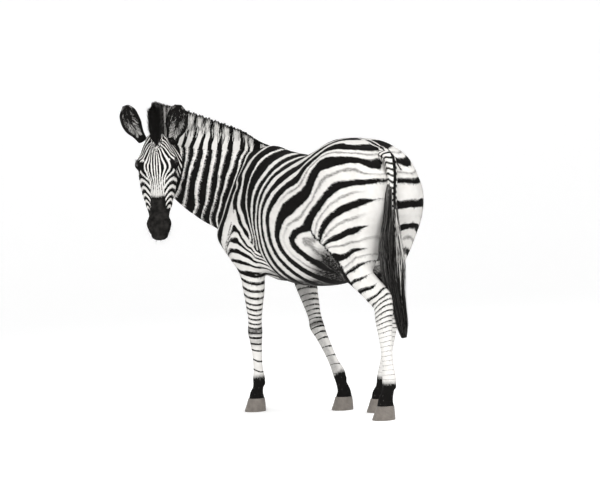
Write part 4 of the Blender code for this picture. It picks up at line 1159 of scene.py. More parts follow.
# Read down the nose: half the forelock's width at its root, and the share of black in the face's lines.
FORELOCK_ROOT = ((-0.04, 0.024), (0.0, 0.021), (0.02, 0.018), (0.035, 0.013), (0.05, 0.008), (0.066, -0.002))
FACE_BLACK = ((-0.03, 0.66), (0.08, 0.66), (0.13, 0.6), (0.2, 0.58), (0.228, 0.5), (0.25, 0.36),
              (0.28, 0.2), (0.31, 0.06))
LINE_STEP = np.array((0.01, -0.009))     # from line to line beyond the drawn ones
for count, line in FACE_LINES.items():
    if abs(count) >= 5:
        start, end = np.array(line[-2:])
        line.append(tuple(end + unit(end - start) * 0.07))
for beyond in range(1, 7):
    for sign in (1, -1):
        step = beyond * LINE_STEP * (sign, 1)
        FACE_LINES[sign * (8 + beyond)] = [tuple(place + step) for place in FACE_LINES[sign * 8]]
face_count = Count(FACE_LINES)
FACE_EDGE = ((0.1, 0.074), (0.13, 0.072), (0.163, 0.07), (0.19, 0.06), (0.21, 0.05), (0.235, 0.04),
             (0.26, 0.034), (0.3, 0.031), (0.36, 0.029))
TEMPLE = 0.068               # from here outward the lines of the forehead lie wider apart
CHEEK_EDGE = ((0.13, 0.088), (0.2, 0.084), (0.3, 0.066), (0.38, 0.052))
CHEEK_BOWS = ((0.0, 1.0), (0.135, 1.0), (0.15, 1.12), (0.188, 2.0), (0.232, 3.0), (0.272, 4.0),
              (0.305, 5.0), (0.335, 6.0), (0.368, 7.0))
HEAD_START = facing_point(-0.515, -0.09, 1.24)
HEAD_WAY = unit(vec(0.74, 0.66, 0.12))


def past_throat(p):
    """How far ahead of the cheek's rear edge."""
    return (p - HEAD_START) @ HEAD_WAY - 0.012


def head_marks(p, marks, s):
    ahead = np.where(s > 0.45, past_throat(p), -1)
    down_nose, out, side = head_frame(p)
    girth = np.abs(side) + 0.6 * np.maximum(0, -0.045 - out) * (down_nose < 0.13) \
        + 0.35 * np.maximum(0, -0.085 - out) * (down_nose >= 0.13)
    at_temple = TEMPLE + 0.45 * (girth - TEMPLE)
    lines = face_count(np.column_stack([np.sign(side) * np.minimum(girth, at_temple), down_nose])) + 0.5
    edge = read(FACE_EDGE, down_nose)
    rim = read(CHEEK_EDGE, down_nose)
    across = np.clip((girth - edge) / (rim - edge), 0, 1)
    bow = down_nose - 0.066 * (1 - across) ** 1.4 + 0.2 * np.maximum(0, girth - rim)
    fading = ramp(0.19, 0.29, down_nose)
    face = ramp(-0.003, 0.003, ahead)
    marks.bring(face, lines, read(FACE_BLACK, down_nose), 0.0, keep_strokes=False)
    cheek = ramp(-0.002, 0.002, girth - edge) * ramp(0.125, 0.135, down_nose)
    marks.bring(face * cheek, read(CHEEK_BOWS, bow), 0.57)
    marks.black(0.0022 - np.abs(girth - edge), (ahead > 0) & (down_nose > 0.13) & (down_nose < 0.33))
    for which in (1, -1):
        along, lift = eye_axes(which)
        q = p - EYE_CENTRE[which]
        u = q @ along - 0.004
        v = q @ lift + 0.004
        marks.black(0.033 - np.sqrt((u * 0.8) ** 2 + v**2 + (q @ EYE_LOOK[which]) ** 2))
        spot = q - lift * 0.036 + along * 0.01
        marks.white(0.009 - np.linalg.norm(spot, axis=1))
    start = np.where(np.abs(side) < 0.036, 0.325 - 0.35 * np.abs(side), 0.372)
    start = np.where(out < -0.125, 0.3, start)
    muzzle = ramp(start - 0.018, start + 0.02, down_nose)
    streaks = 0.5 + 0.5 * np.sin(side * 900 + 12 * down_nose)
    blaze = (0.16 + 0.16 * streaks) * fading * ramp(0.033, 0.028, np.abs(side))
    # the black muzzle; its value of 1.5 also lets the shader paint grey sheen patches on it
    marks.darken((ahead > 0) * np.maximum(1.5 * muzzle, blaze))
    tuft_root = ramp(-0.002, 0.002, read(FORELOCK_ROOT, down_nose) - np.abs(side - 0.003))
    marks.darken(1.28 * tuft_root * ((ahead > 0) & (down_nose < 0.08) & (out > -0.1)))
    marks.black(0.005 - np.abs(ahead))


def coat_marks(p):
    """All marks at places on the coat."""
    marks, s, h, side = trunk_marks(p)
    shoulder_marks(marks, s, h, side)
    leg_marks(p, marks)
    head_marks(p, marks, s)
    return marks


def add_vectors(obj, name, values):
    layer = obj.data.attributes.new(name, "FLOAT_VECTOR", "POINT")
    layer.data.foreach_set("vector", np.asarray(values, np.float32).ravel())


def mark(obj, layers):
    """Keep the marks on the vertices, where the shader finds them."""
    for key, rows in layers.items():
        add_vectors(obj, key, rows)


mark(skin, coat_marks(vertex_places(skin)).layers())
print("marks on", len(skin.data.vertices), "vertices")

# %% [markdown]
# One node group turns the marks into colour. The count is bent a little by noise, so no band has a
# ruled edge, and its distance to the nearest whole number is compared with the share of black.

# %% The striped coat's colours
def add_node(tree, kind, **values):
    node = tree.nodes.new(kind)
    for key, value in values.items():
        setattr(node, key, value)
    return node


def set_socket(tree, socket, value):
    """Give a socket a value, or link another node's output to it."""
    if isinstance(value, (int, float, tuple)):
        socket.default_value = value
    else:
        tree.links.new(value, socket)


def math_node(tree, operation, first, second=None, third=None, clamp=False):
    node = add_node(tree, "ShaderNodeMath", operation=operation, use_clamp=clamp)
    for socket, value in zip(node.inputs, (first, second, third)):
        if value is not None:
            set_socket(tree, socket, value)
    return node.outputs[0]


def noise_node(tree, vector, scale, detail=2.0):
    node = add_node(tree, "ShaderNodeTexNoise")
    for label, value in (("Vector", vector), ("Scale", scale), ("Detail", detail)):
        set_socket(tree, node.inputs[label], value)
    return node.outputs["Fac"]


def mix_colour(tree, factor, first, second, mode="MIX"):
    node = add_node(tree, "ShaderNodeMix", data_type="RGBA", blend_type=mode)
    for socket, value in ((node.inputs[0], factor), (node.inputs[6], first), (node.inputs[7], second)):
        set_socket(tree, socket, value)
    return node.outputs[2]


def new_group(name, inputs, outputs):
    tree = bpy.data.node_groups.new(name, "ShaderNodeTree")
    for label, kind in inputs:
        tree.interface.new_socket(label, in_out="INPUT", socket_type="NodeSocket" + kind)
    for label, kind in outputs:
        tree.interface.new_socket(label, in_out="OUTPUT", socket_type="NodeSocket" + kind)
    return tree, tree.nodes.new("NodeGroupInput").outputs, tree.nodes.new("NodeGroupOutput").inputs


WHITE_HAIR = (0.74, 0.73, 0.71, 1)
CREAM_HAIR = (0.6, 0.58, 0.55, 1)
BLACK_HAIR = (0.004, 0.0038, 0.0036, 1)
WORN_BLACK = (0.014, 0.013, 0.012, 1)
SHADOW_GREY = (0.13, 0.125, 0.12, 1)
# painted sheen: the lighter grey that stands in for the shine on the muzzle's wet skin
MUZZLE_SHEEN_GREY = (0.024, 0.0225, 0.021, 1)


def stripes_group():
    tree, given, wanted = new_group(
        "striped_coat", [("Bands", "Vector"), ("Marks", "Vector"), ("Place", "Vector")],
        [("Colour", "Color"), ("Black", "Float")])
    bands = add_node(tree, "ShaderNodeSeparateXYZ")
    marks = add_node(tree, "ShaderNodeSeparateXYZ")
    tree.links.new(given["Bands"], bands.inputs[0])
    tree.links.new(given["Marks"], marks.inputs[0])
    place = given["Place"]
    slow = math_node(tree, "SUBTRACT", noise_node(tree, place, 14.0), 0.5)
    quick = math_node(tree, "SUBTRACT", noise_node(tree, place, 120.0, 3.0), 0.5)
    turn = math_node(tree, "ARCTAN2", bands.outputs[1], bands.outputs[0])
    bent = math_node(tree, "MULTIPLY_ADD", slow, 0.22, math_node(tree, "DIVIDE", turn, 2 * math.pi))
    bent = math_node(tree, "MULTIPLY_ADD", quick, 0.1, bent)
    off = math_node(tree, "PINGPONG", bent, 0.5)
    half = math_node(tree, "MULTIPLY", bands.outputs[2], 0.5)
    band = math_node(tree, "SUBTRACT", half, off)
    band = math_node(tree, "MULTIPLY_ADD", band, 28.0, 0.5, clamp=True)
    rough_stroke = math_node(tree, "MULTIPLY_ADD", quick, 0.9, marks.outputs[0])
    over = math_node(tree, "MULTIPLY_ADD", rough_stroke, 4.0, -1.9, clamp=True)
    pale = math_node(tree, "MULTIPLY_ADD", rough_stroke, -4.0, -1.9, clamp=True)
    black = math_node(tree, "MAXIMUM", band, over)
    black = math_node(tree, "SUBTRACT", black, pale, clamp=True)
    specks = noise_node(tree, place, 260.0, 2.0)
    shade = math_node(tree, "MULTIPLY_ADD", math_node(tree, "SUBTRACT", off, 0.41), 18.0, 0.0, clamp=True)
    shade = math_node(tree, "MULTIPLY", shade, marks.outputs[1])
    shade = math_node(tree, "MULTIPLY", shade, math_node(tree, "MULTIPLY_ADD", specks, 3.5, -1.0, clamp=True))
    tint = noise_node(tree, place, 40.0, 4.0)
    white = mix_colour(tree, tint, WHITE_HAIR, CREAM_HAIR)
    white = mix_colour(tree, shade, white, SHADOW_GREY)
    dark = mix_colour(tree, math_node(tree, "MULTIPLY", specks, tint), BLACK_HAIR, WORN_BLACK)
    colour = mix_colour(tree, black, white, dark)
    # the dark value turns the colour to black: plain dark of belly, muzzle and feet, and painted shade in the
    # groin and inside the forelegs
    patchy = math_node(tree, "MULTIPLY_ADD", quick, 1.4, 1.0)
    dark_and_shade_amount = math_node(tree, "MULTIPLY", marks.outputs[2], patchy, clamp=True)
    colour = mix_colour(tree, dark_and_shade_amount, colour, dark)
    # painted sheen: where the dark value passes 1.3, which only the muzzle reaches, noise patches of lighter
    # grey stand in for the shine on its wet skin
    muzzle_sheen = math_node(tree, "MULTIPLY_ADD", marks.outputs[2], 6.0, -8.0, clamp=True)
    patch = math_node(tree, "MULTIPLY_ADD", noise_node(tree, place, 38.0, 3.0), 3.2, -1.3, clamp=True)
    colour = mix_colour(tree, math_node(tree, "MULTIPLY", muzzle_sheen, patch), colour, MUZZLE_SHEEN_GREY)
    tree.links.new(colour, wanted["Colour"])
    tree.links.new(black, wanted["Black"])
    return tree


STRIPES = stripes_group()


def grain_group():
    """Fine uneven fur, and softer folds of the skin below it, as a height."""
    tree, given, wanted = new_group("hair_grain", [("Place", "Vector")], [("Height", "Float")])
    fur = noise_node(tree, given["Place"], 420.0, 3.0)
    folds = noise_node(tree, given["Place"], 34.0)
    height = math_node(tree, "MULTIPLY_ADD", folds, 1.6, fur)
    tree.links.new(height, wanted["Height"])
    return tree


GRAIN = grain_group()


def new_material(name, **values):
    """A material, its nodes and its shader, with some of the shader's values."""
    mat = bpy.data.materials.new(name)
    mat.use_nodes = True
    shader = mat.node_tree.nodes["Principled BSDF"]
    for label, value in values.items():
        shader.inputs[label.replace("_", " ")].default_value = value
    return mat, mat.node_tree, shader


def add_bump(tree, shader, height, strength, distance):
    bump = add_node(tree, "ShaderNodeBump")
    for label, value in (("Strength", strength), ("Distance", distance), ("Height", height)):
        set_socket(tree, bump.inputs[label], value)
    tree.links.new(bump.outputs["Normal"], shader.inputs["Normal"])


def coat_material(name, roughness=0.62):
    mat, tree, shader = new_material(name, Roughness=roughness, Specular_IOR_Level=0.03)
    stripes = add_node(tree, "ShaderNodeGroup", node_tree=STRIPES)
    for label, key in (("Bands", "bands"), ("Marks", "marks"), ("Place", "root")):
        layer = add_node(tree, "ShaderNodeAttribute", attribute_name=key)
        tree.links.new(layer.outputs["Vector"], stripes.inputs[label])
    tree.links.new(stripes.outputs["Colour"], shader.inputs["Base Color"])
    grain = add_node(tree, "ShaderNodeGroup", node_tree=GRAIN)
    tree.links.new(layer.outputs["Vector"], grain.inputs["Place"])
    add_bump(tree, shader, grain.outputs["Height"], 0.35, 0.0015)
    return mat


print("the coat's colours come from", len(STRIPES.nodes), "nodes, its grain from", len(GRAIN.nodes))

# %% [markdown]
# Ears and the tail's dock are thinner than the body's grid can hold, so each is a mesh of its own on
# a finer grid. A helper ties each finished piece to its material and to the solids it stands for.

# %% Ears and tail
def detached(name, masses, cell, depth):
    """A piece with its own finer grid, pulled onto its form and in by the coat's depth."""
    obj = mesh_object(name, *surface(masses, cell))
    pull_onto_form(obj, lambda p: blended(masses, p) + depth, 0.003)
    return obj


ears = {side: detached("ear_skin_" + word, ear_masses(side), FINE_CELL, FACE_COAT)
        for word, side in SIDES}
dock = detached("tail_dock_skin", dock_masses(), FINE_CELL, 0.002)

FLESH_NODES = ["barrel", "forequarters", "haunch_left", "haunch_right", "neck_lower", "neck_upper", "head",
               "muzzle"] + [part + word for part in ("forearm_", "cannon_fore_", "cannon_hind_", "gaskin_")
                            for word in ("left", "right")]


def belongs(obj, material, slot_name, *nodes):
    """Tie a piece to its material, the still body and the solids that it stands for. The name of its finish
    (slot_name) is not used.
    """
    obj.data.materials.append(material)
    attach(obj, "root")
    if nodes:
        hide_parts(*nodes)


belongs(skin, coat_material("short_coat"), "coat", *FLESH_NODES)
print("ears of", [len(ear.data.polygons) for ear in ears.values()], "faces, dock of", len(dock.data.polygons))

# %% [markdown]
# Hair is made of thin tapered blades: three-sided, a few bends long, closed at both ends. All blades
# of one kind are one mesh, built at once from arrays. Each blade keeps its root's place and marks, so
# it has one colour, and its patch on the bake map lies at its root.

# %% Blades of hair
SEED = 21
TAPER = 0.7                  # below 1, so that a blade keeps its width and narrows near its tip


def blades(name, lines, widths, values, uv, flat=0.45, out=None, foot=1.0):
    """One mesh of closed, three-sided blades. lines: (blades, points, 3) from root to tip; values:
    what the shader needs of each blade; uv: where each lies on the map; out: away from the skin."""
    count, steps, _ = lines.shape
    along = unit(lines[:, -1] - lines[:, 0])
    side = unit(np.cross(along, UP + 1e-3 if out is None else out))
    lift = np.cross(side, along)
    rings = []
    shading = []
    for k in range(steps - 1):
        w = (widths * (foot if k == 0 else (1 - k / (steps - 1)) ** TAPER))[:, None]
        middle = lines[:, k]
        rings += [middle - side * w, middle + side * w, middle + lift * w * flat * 1.6]
        shading += [lift - side * 0.45, lift + side * 0.45, lift]
    points = np.stack(rings + [lines[:, -1]], 1)
    corners = points.shape[1]
    faces = [(0, 1, 2)]
    for k in range(steps - 2):
        a = 3 * k
        for i in range(3):
            j = (i + 1) % 3
            faces += [(a + i, a + 3 + j, a + j), (a + i, a + 3 + i, a + 3 + j)]
    a = 3 * (steps - 2)
    faces += [(a + (i + 1) % 3, a + i, corners - 1) for i in range(3)]
    faces = np.array(faces)
    all_faces = (faces[None] + (np.arange(count) * corners)[:, None, None]).reshape(-1, 3)
    obj = mesh_object(name, points.reshape(-1, 3), all_faces, smooth=out is not None)
    if out is not None:
        obj.data.normals_split_custom_set_from_vertices(unit(np.stack(shading + [lift], 1)).reshape(-1, 3))
    for key, rows in values.items():
        add_vectors(obj, key, np.repeat(rows, corners, axis=0))
    offsets = np.array([(0, 0), (0.003, 0), (0, 0.003)])
    layer = obj.data.uv_layers.new(name="OFBake")
    spots = np.repeat(uv, len(faces), axis=0)[:, None] + offsets[None]
    layer.data.foreach_set("uv", spots.astype(np.float32).ravel())
    return obj


def hair_marks(root, dark_and_shade, bands=None):
    """Marks for hair: pale where it has no bands, and darkened by the given dark value."""
    none = np.zeros(len(root))
    if bands is None:
        bands = np.column_stack([none - 1, none, none])
    return {"bands": bands, "marks": np.column_stack([none, none, none + dark_and_shade]), "root": root}


def bent_lines(root, lean, reach, bend, early=0.0):
    """Lines of three points that lean out of their roots and bend at their tips."""
    reach = reach[:, None]
    return np.stack([root, root + lean * (reach * 0.5) + bend * early, root + lean * reach + bend], 1)


print("a blade half-way to its tip is", round(0.5**TAPER, 2), "as wide as at its root")


# %% [markdown]
# The mane of a zebra stands up like a brush. It carries the neck's bands on: broad white blocks,
# narrow black ones, and black tips all along. A thin ridge of skin stands under it, and thousands of
# blades rise from both sides of the ridge.

# %% Mane and forelock
MANE_LINE = mane_masses()[0]
CREST = 0.02                 # from the mane's own line up to the crest of the neck
BAND_TOP = 0.178             # above this height the mane carries the same bands on
FORELOCK_START = 0.735       # how far forward of the withers the mane turns black
MANE_SHARE = ((0.0, 0.95), (0.14, 0.72), (0.2, 0.52), (0.3, 0.46), (0.5, 0.47), (0.62, 0.42), (0.66, 0.28))


def along_line(line, share_along):
    """Middle, size, front, side and tangent of a line at shares of its length."""
    at = share_along * (len(line.line) - 1)
    k = np.clip(at.astype(int), 0, len(line.line) - 2)
    w = (at - k)[:, None]

    def pick(values):
        return values[k] * (1 - w) + values[k + 1] * w

    return pick(line.line), pick(line.size), *(unit(pick(v)) for v in (line.front, line.side, line.tangent))


def mane_blades(name, count, seed, low, high, reach_to, longest, width, black):
    """Blades rooted between two levels of the mane's height, each reaching up to a ragged edge."""
    rng = np.random.default_rng(seed)
    t = rng.random(count) * 0.995
    middle, size, front, across, tangent = along_line(MANE_LINE, t)
    level = low + (high - low) * rng.random(count)
    lateral = rng.uniform(-1, 1, count)
    bulge = np.sqrt(np.clip(1 - (np.clip(level, 0, 1) * 0.9) ** 2, 0.05, 1))
    root = middle - front * (level * size[:, 2])[:, None] \
        + across * (lateral * bulge * size[:, 0] * 0.74)[:, None]
    ragged = 1 + 0.026 * np.sin(t * 390) + 0.022 * np.sin(t * 163 + 2) + 0.016 * rng.standard_normal(count)
    reach = np.minimum((reach_to * ragged - level) * size[:, 2], longest * (0.8 + 0.4 * rng.random(count)))
    reach = np.maximum(reach, 0.008)
    lean = unit(-front + tangent * (0.05 * rng.standard_normal(count) + 0.04)[:, None]
                + across * (0.06 * rng.standard_normal(count) - 0.05 * lateral)[:, None])
    bend = tangent * (0.05 * reach * rng.standard_normal(count))[:, None]
    lines = bent_lines(root, lean, reach, bend, 0.3)
    s, h, _ = body_chart(middle)
    at = np.stack([s + 0.004 * rng.standard_normal(count), np.minimum(h + CREST, BAND_TOP)], 1)
    at[:, 0] += 0.01 * level * ramp(0.2, 0.4, s)
    dark = np.maximum(black, ramp(FORELOCK_START - 0.01, FORELOCK_START + 0.015, s) > rng.random(count))
    values = hair_marks(root, dark, np.column_stack([turned(trunk_count(at)), read(MANE_SHARE, s)]))
    uv = np.stack([0.03 + 0.9 * t, 0.05 + 0.4 * np.clip(level, 0, 1) + 0.5 * (lateral > 0)], 1)
    sides = across * np.where(lateral > 0, 1, -1)[:, None]
    return blades(name, lines, width * (0.7 + 0.6 * rng.random(count)), values, uv, 0.3, sides, 0.25)


def mane_ridge():
    """The ridge that the blades rise from, narrower and lower than the mane."""
    core = mane_masses()[0]
    ending = ramp(-0.005, 0.06, core.at[-1] - core.at)[:, None]
    core.size = core.size * np.array([0.72, 0.95, 0.84]) * (0.12 + 0.88 * ending)
    obj = mesh_object("mane_ridge", *surface([core], FINE_CELL))
    p = vertex_places(obj)
    s, h, _ = body_chart(p)
    at = np.stack([s, np.clip(h, 0.1, BAND_TOP)], 1)
    dark_and_shade = ramp(FORELOCK_START - 0.01, FORELOCK_START + 0.01, s)
    mark(obj, hair_marks(p, dark_and_shade, np.column_stack([turned(trunk_count(at)), read(MANE_SHARE, s)])))
    return obj


def forelock(name, count, seed):
    """Black hair at the front end of the mane, rooted between the ears and on the forehead below."""
    rng = np.random.default_rng(seed)
    low_part = rng.random(count) < 0.35
    middle, size, front, across, tangent = along_line(MANE_LINE, 0.9 + 0.1 * rng.random(count))
    level = rng.uniform(-0.05, 0.72, count)
    lateral = rng.uniform(-1, 1, count)
    ahead = rng.random(count) ** 0.5
    upper = middle - front * (level * size[:, 2])[:, None] + across * (lateral * size[:, 0] * 0.8)[:, None] \
        + tangent * (0.02 * ahead * np.sqrt(1 - 0.8 * lateral**2))[:, None]
    down_nose = rng.uniform(-0.02, 0.05, count)
    aside = read(FORELOCK_ROOT, down_nose) * rng.uniform(-1, 1, count)
    lower = np.array([head_point(d, -0.018, w) for d, w in zip(down_nose, aside)])
    root = np.where(low_part[:, None], lower, upper)
    reach = np.where(low_part, 0.05 + 0.015 * rng.random(count), (0.97 - level) * size[:, 2])
    reach = np.minimum(reach, 0.075) * (0.7 + 0.34 * rng.random(count))
    lean = -front + tangent * (0.16 * ahead + 0.1 * rng.standard_normal(count))[:, None] \
        + across * (0.16 * lateral + 0.09 * rng.standard_normal(count))[:, None]
    low_lean = UP * 0.85 + BROW * 0.3 + 0.1 * rng.standard_normal((count, 3))
    lean = unit(np.where(low_part[:, None], low_lean, lean))
    lines = bent_lines(root, lean, reach, -tangent * (0.06 * reach)[:, None])
    uv = np.column_stack([0.1 + 0.8 * np.clip(level, 0, 1), 0.5 + 0.4 * lateral])
    away = unit(tangent + across * lateral[:, None])
    widths = 0.0011 + 0.0008 * rng.random(count)
    return blades(name, lines, widths, hair_marks(root, 1.25), uv, 0.3, away)


THIN = 1.0
HAIR = coat_material("long_hair", 0.5)
mane = mane_blades("mane_hair", int(13000 * THIN), SEED, -0.1, 0.84, 0.972, 0.085, 0.0016, False)
tips = mane_blades("mane_tips", int(6000 * THIN), SEED + 1, 0.82, 0.95, 1.02, 0.03, 0.0018, True)
ridge = mane_ridge()
fringe = forelock("forelock_hair", int(3200 * THIN), SEED + 4)
belongs(fringe, HAIR, "long_hair", "forelock")
belongs(ridge, HAIR, "long_hair", "mane")
belongs(mane, HAIR, "long_hair")
belongs(tips, HAIR, "long_hair")
print("mane", len(mane.data.polygons), "and", len(tips.data.polygons), "faces")

# %% [markdown]
# The tail hangs from the rump as a fleshy dock, striped like a ladder. Long hair starts half way down
# its edges and falls in a black tuft, with some pale hair at its top. Each blade follows the line of
# the tail at its own distance from it, so the tuft opens and closes again like the real one.

# %% Tail
DOCK_LINE = dock_masses()[0]
TUFT_ROWS = [(0.03, 0.945, 1.13, 0.02), (0.05, 0.962, 1.03, 0.024), (0.06, 0.968, 0.93, 0.03),
             (0.07, 0.972, 0.84, 0.046), (0.078, 0.974, 0.74, 0.06), (0.078, 0.978, 0.65, 0.052),
             (0.068, 0.982, 0.56, 0.038), (0.056, 0.984, 0.48, 0.03), (0.048, 0.985, 0.42, 0.024),
             (0.042, 0.985, 0.372, 0.012)]
TAIL_LINE = Sweep([(x, y, z, r, r, r) for x, y, z, r in TUFT_ROWS], (0, 1, 0.2), (0.02, 0.01), 0.02, steps=6)


def dock_marks_at(p):
    t, back, across = DOCK_LINE.chart(p)
    around = np.arctan2(across, back)
    marks = Marks(p, t / 0.027 + 0.25 * np.sin(3 * around), np.where(np.abs(around) < 2.3, 0.42, 0.1))
    marks.black(read(((0.0, 0.0095), (0.1, 0.012), (0.4, 0.01)), t) - np.abs(across), back > 0)
    marks.black(0.0045 - np.abs(np.abs(around) - 1.75) * 0.024)
    return marks


def tail_hair(name, count, seed, first, last, shortest, longest, pale):
    rng = np.random.default_rng(seed)
    start = first + (last - first) * rng.random(count)
    long = shortest + (longest - shortest) * rng.random(count)
    steps = 6
    turn = rng.uniform(0, 2 * np.pi, count)
    spread = np.sqrt(rng.random(count))
    swing = 0.35 * rng.standard_normal(count)
    bulge = 1 + 0.12 * rng.standard_normal(count)
    at_edge = (np.sin(turn) < -0.5) * 1.0
    points = []
    length = TAIL_LINE.at[-1]
    for k in range(steps):
        t = np.clip(start + long * k / (steps - 1), 0, length * 0.998)
        middle, size, front, across, _ = along_line(TAIL_LINE, t / length)
        opened = 0.55 + 0.45 * min(1, k / 1.5)
        out = size[:, 0] * spread * opened * (1 + (bulge - 1) * k / 3)
        out = out + 0.013 * at_edge * ramp(0.0, 0.05, t) * ramp(0.4, 0.25, t)
        angle = turn + swing * k / (steps - 1) * (1 - at_edge)
        points.append(middle + front * (out * 0.75 * np.cos(angle))[:, None]
                      + across * (out * np.sin(angle))[:, None])
    lines = np.stack(points, 1)
    streak = ramp(-0.4, 0.1, np.sin(turn)) * ramp(0.08, 0.12, start)
    dark = rng.random(count) > pale * ramp(0.36, 0.16, start) * (0.4 + spread) * streak
    values = hair_marks(lines[:, 0], dark)
    uv = np.stack([0.05 + 0.9 * start / length, 0.05 + 0.9 * turn / (2 * np.pi)], 1)
    return blades(name, lines, 0.0011 + 0.001 * rng.random(count), values, uv, foot=0.4)


mark(dock, dock_marks_at(vertex_places(dock)).layers())
tail_upper = tail_hair("tail_hair_upper", int(2300 * THIN), SEED + 2, 0.03, 0.3, 0.1, 0.3, 0.6)
tail_lower = tail_hair("tail_hair_lower", int(4800 * THIN), SEED + 3, 0.16, 0.52, 0.22, 0.52, 0.06)
belongs(dock, coat_material("dock_coat"), "coat", "tail_dock")
belongs(tail_lower, HAIR, "long_hair", "tail_tuft")
belongs(tail_upper, HAIR, "long_hair")
print("tail", len(tail_lower.data.polygons), "faces")

# %% [markdown]
# The ears are cups with a black rim, long pale and dark hair inside, and a white back with a black
# tip. Hair grows from both edges of the cup towards its middle.

# %% Ears
def ear_marks_at(p, side):
    cup = ear_masses(side)[0]
    t, out, across = cup.outer.chart(p)
    inside = ramp(0.01, 0.004, np.abs(cup.hollow.distance(p))) * (out > -0.012)
    marks = Marks(p, np.full(len(p), 0.5), 0.05)
    marks.darken(1.25 * inside)
    rim = ramp(0.66, 0.9, np.abs(across) / np.interp(t, cup.outer.at, cup.outer.size[:, 0]))
    marks.darken(1.3 * rim)
    marks.darken(1.3 * ramp(0.12, 0.15, t))
    marks.darken(1.3 * ramp(0.055, 0.04, t) * (out > -0.012))
    return marks


def ear_hair(name, side, count, seed):
    rng = np.random.default_rng(seed)
    cup = ear_masses(side)[0]
    t = 0.06 + 0.8 * rng.random(count) ** 1.2
    middle, size, front, across, tangent = along_line(cup.outer, t)
    edge = np.where(rng.random(count) < 0.5, -1.0, 1.0)
    inward = rng.random(count) ** 1.5
    root = middle + across * (edge * size[:, 0] * (0.86 - 0.62 * inward))[:, None] \
        + front * (size[:, 1] * (0.25 - 0.75 * inward * (1 - 0.4 * inward)))[:, None]
    lean = unit(tangent * 0.85 - across * (edge * (0.75 - 0.5 * inward))[:, None]
                + front * (0.16 + 0.1 * rng.standard_normal(count))[:, None])
    reach = (0.018 + 0.022 * rng.random(count)) * (1 - 0.35 * t)
    lines = bent_lines(root, lean, reach, tangent * (reach * 0.12)[:, None])
    values = hair_marks(root, np.where(rng.random(count) < 0.5, 0.9, 0.12))
    uv = np.stack([0.1 + 0.8 * t, 0.5 + 0.4 * edge * inward], 1)
    return blades(name, lines, 0.0006 + 0.0006 * rng.random(count), values, uv, 0.4, front, 0.3)


EAR_COAT = coat_material("ear_coat", 0.7)
ear_hairs = {}
for word, side in SIDES:
    mark(ears[side], ear_marks_at(vertex_places(ears[side]), side).layers())
    belongs(ears[side], EAR_COAT, "coat", "ear_" + word)
    ear_hairs[side] = ear_hair("ear_hair_" + word, side, int(900 * THIN), SEED + 10 + side)
    belongs(ear_hairs[side], HAIR, "long_hair")
print("ears with", len(ear_hairs[1].data.polygons), "faces of hair each")

# %% [markdown]
# A grazing animal's eye is dark brown with a pupil that lies across it, under a clear, wet cornea. The
# ball is built with its poles on the line of sight, so the cornea can bulge and the rings of the iris
# follow the mesh. Its directions are kept on the vertices for the shader.

# %% Eyes
def ring_faces(rings, turns):
    """The quads between rings of points that follow each other."""
    quads = []
    for i in range(rings - 1):
        here, beyond = i * turns, (i + 1) * turns
        quads += [(here + j, beyond + j, beyond + (j + 1) % turns, here + (j + 1) % turns)
                  for j in range(turns)]
    return quads


def eyeball(name, side):
    look = EYE_LOOK[side]
    along, lift = eye_axes(side)
    rings = 36
    turns = 56
    angles = np.pi * (np.arange(1, rings) / rings) ** 1.25
    turn = 2 * np.pi * np.arange(turns) / turns
    sine, cosine = np.sin(angles)[:, None], np.cos(angles)[:, None]
    way = sine[..., None] * (np.cos(turn)[None, :, None] * along + np.sin(turn)[None, :, None] * lift) \
        + cosine[..., None] * look
    way = np.concatenate([way.reshape(-1, 3), [look, -look]])
    tilt = np.arccos(np.clip(way @ look, -1, 1))
    radius = EYE_RADIUS * (0.985 + 0.055 * ramp(0.66, 0.1, tilt))
    points = EYE_CENTRE[side] + way * radius[:, None]
    quads = ring_faces(rings - 1, turns)
    front, back = len(points) - 2, len(points) - 1
    last = (rings - 2) * turns
    faces = [(a, b, c) for a, b, c, _ in quads] + [(a, c, d) for a, _, c, d in quads]
    faces += [(front, j, (j + 1) % turns) for j in range(turns)]
    faces += [(back, last + (j + 1) % turns, last + j) for j in range(turns)]
    obj = mesh_object(name, points, faces)
    add_vectors(obj, "gaze", np.column_stack([way @ along, way @ lift, tilt]))
    return obj


def iris_group():
    """Pupil, iris and rim from the directions kept on the ball."""
    tree, given, wanted = new_group("iris_rings", [("Gaze", "Vector")], [("Colour", "Color")])
    gaze = add_node(tree, "ShaderNodeSeparateXYZ")
    tree.links.new(given["Gaze"], gaze.inputs[0])
    u = math_node(tree, "POWER", math_node(tree, "DIVIDE", gaze.outputs[0], 0.4), 2.0)
    v = math_node(tree, "POWER", math_node(tree, "DIVIDE", gaze.outputs[1], 0.17), 2.0)
    pupil = math_node(tree, "MULTIPLY_ADD", math_node(tree, "ADD", u, v), -6.0, 6.5, clamp=True)
    fibres = noise_node(tree, given["Gaze"], 22.0, 4.0)
    iris = mix_colour(tree, fibres, (0.005, 0.003, 0.0025, 1), (0.018, 0.01, 0.006, 1))
    rim = math_node(tree, "MULTIPLY_ADD", gaze.outputs[2], 9.0, -5.6, clamp=True)
    ball = mix_colour(tree, rim, iris, (0.006, 0.005, 0.005, 1))
    white = math_node(tree, "MULTIPLY_ADD", gaze.outputs[2], 5.0, -4.9, clamp=True)
    ball = mix_colour(tree, white, ball, (0.016, 0.012, 0.01, 1))
    tree.links.new(mix_colour(tree, pupil, ball, (0.004, 0.004, 0.005, 1)), wanted["Colour"])
    return tree


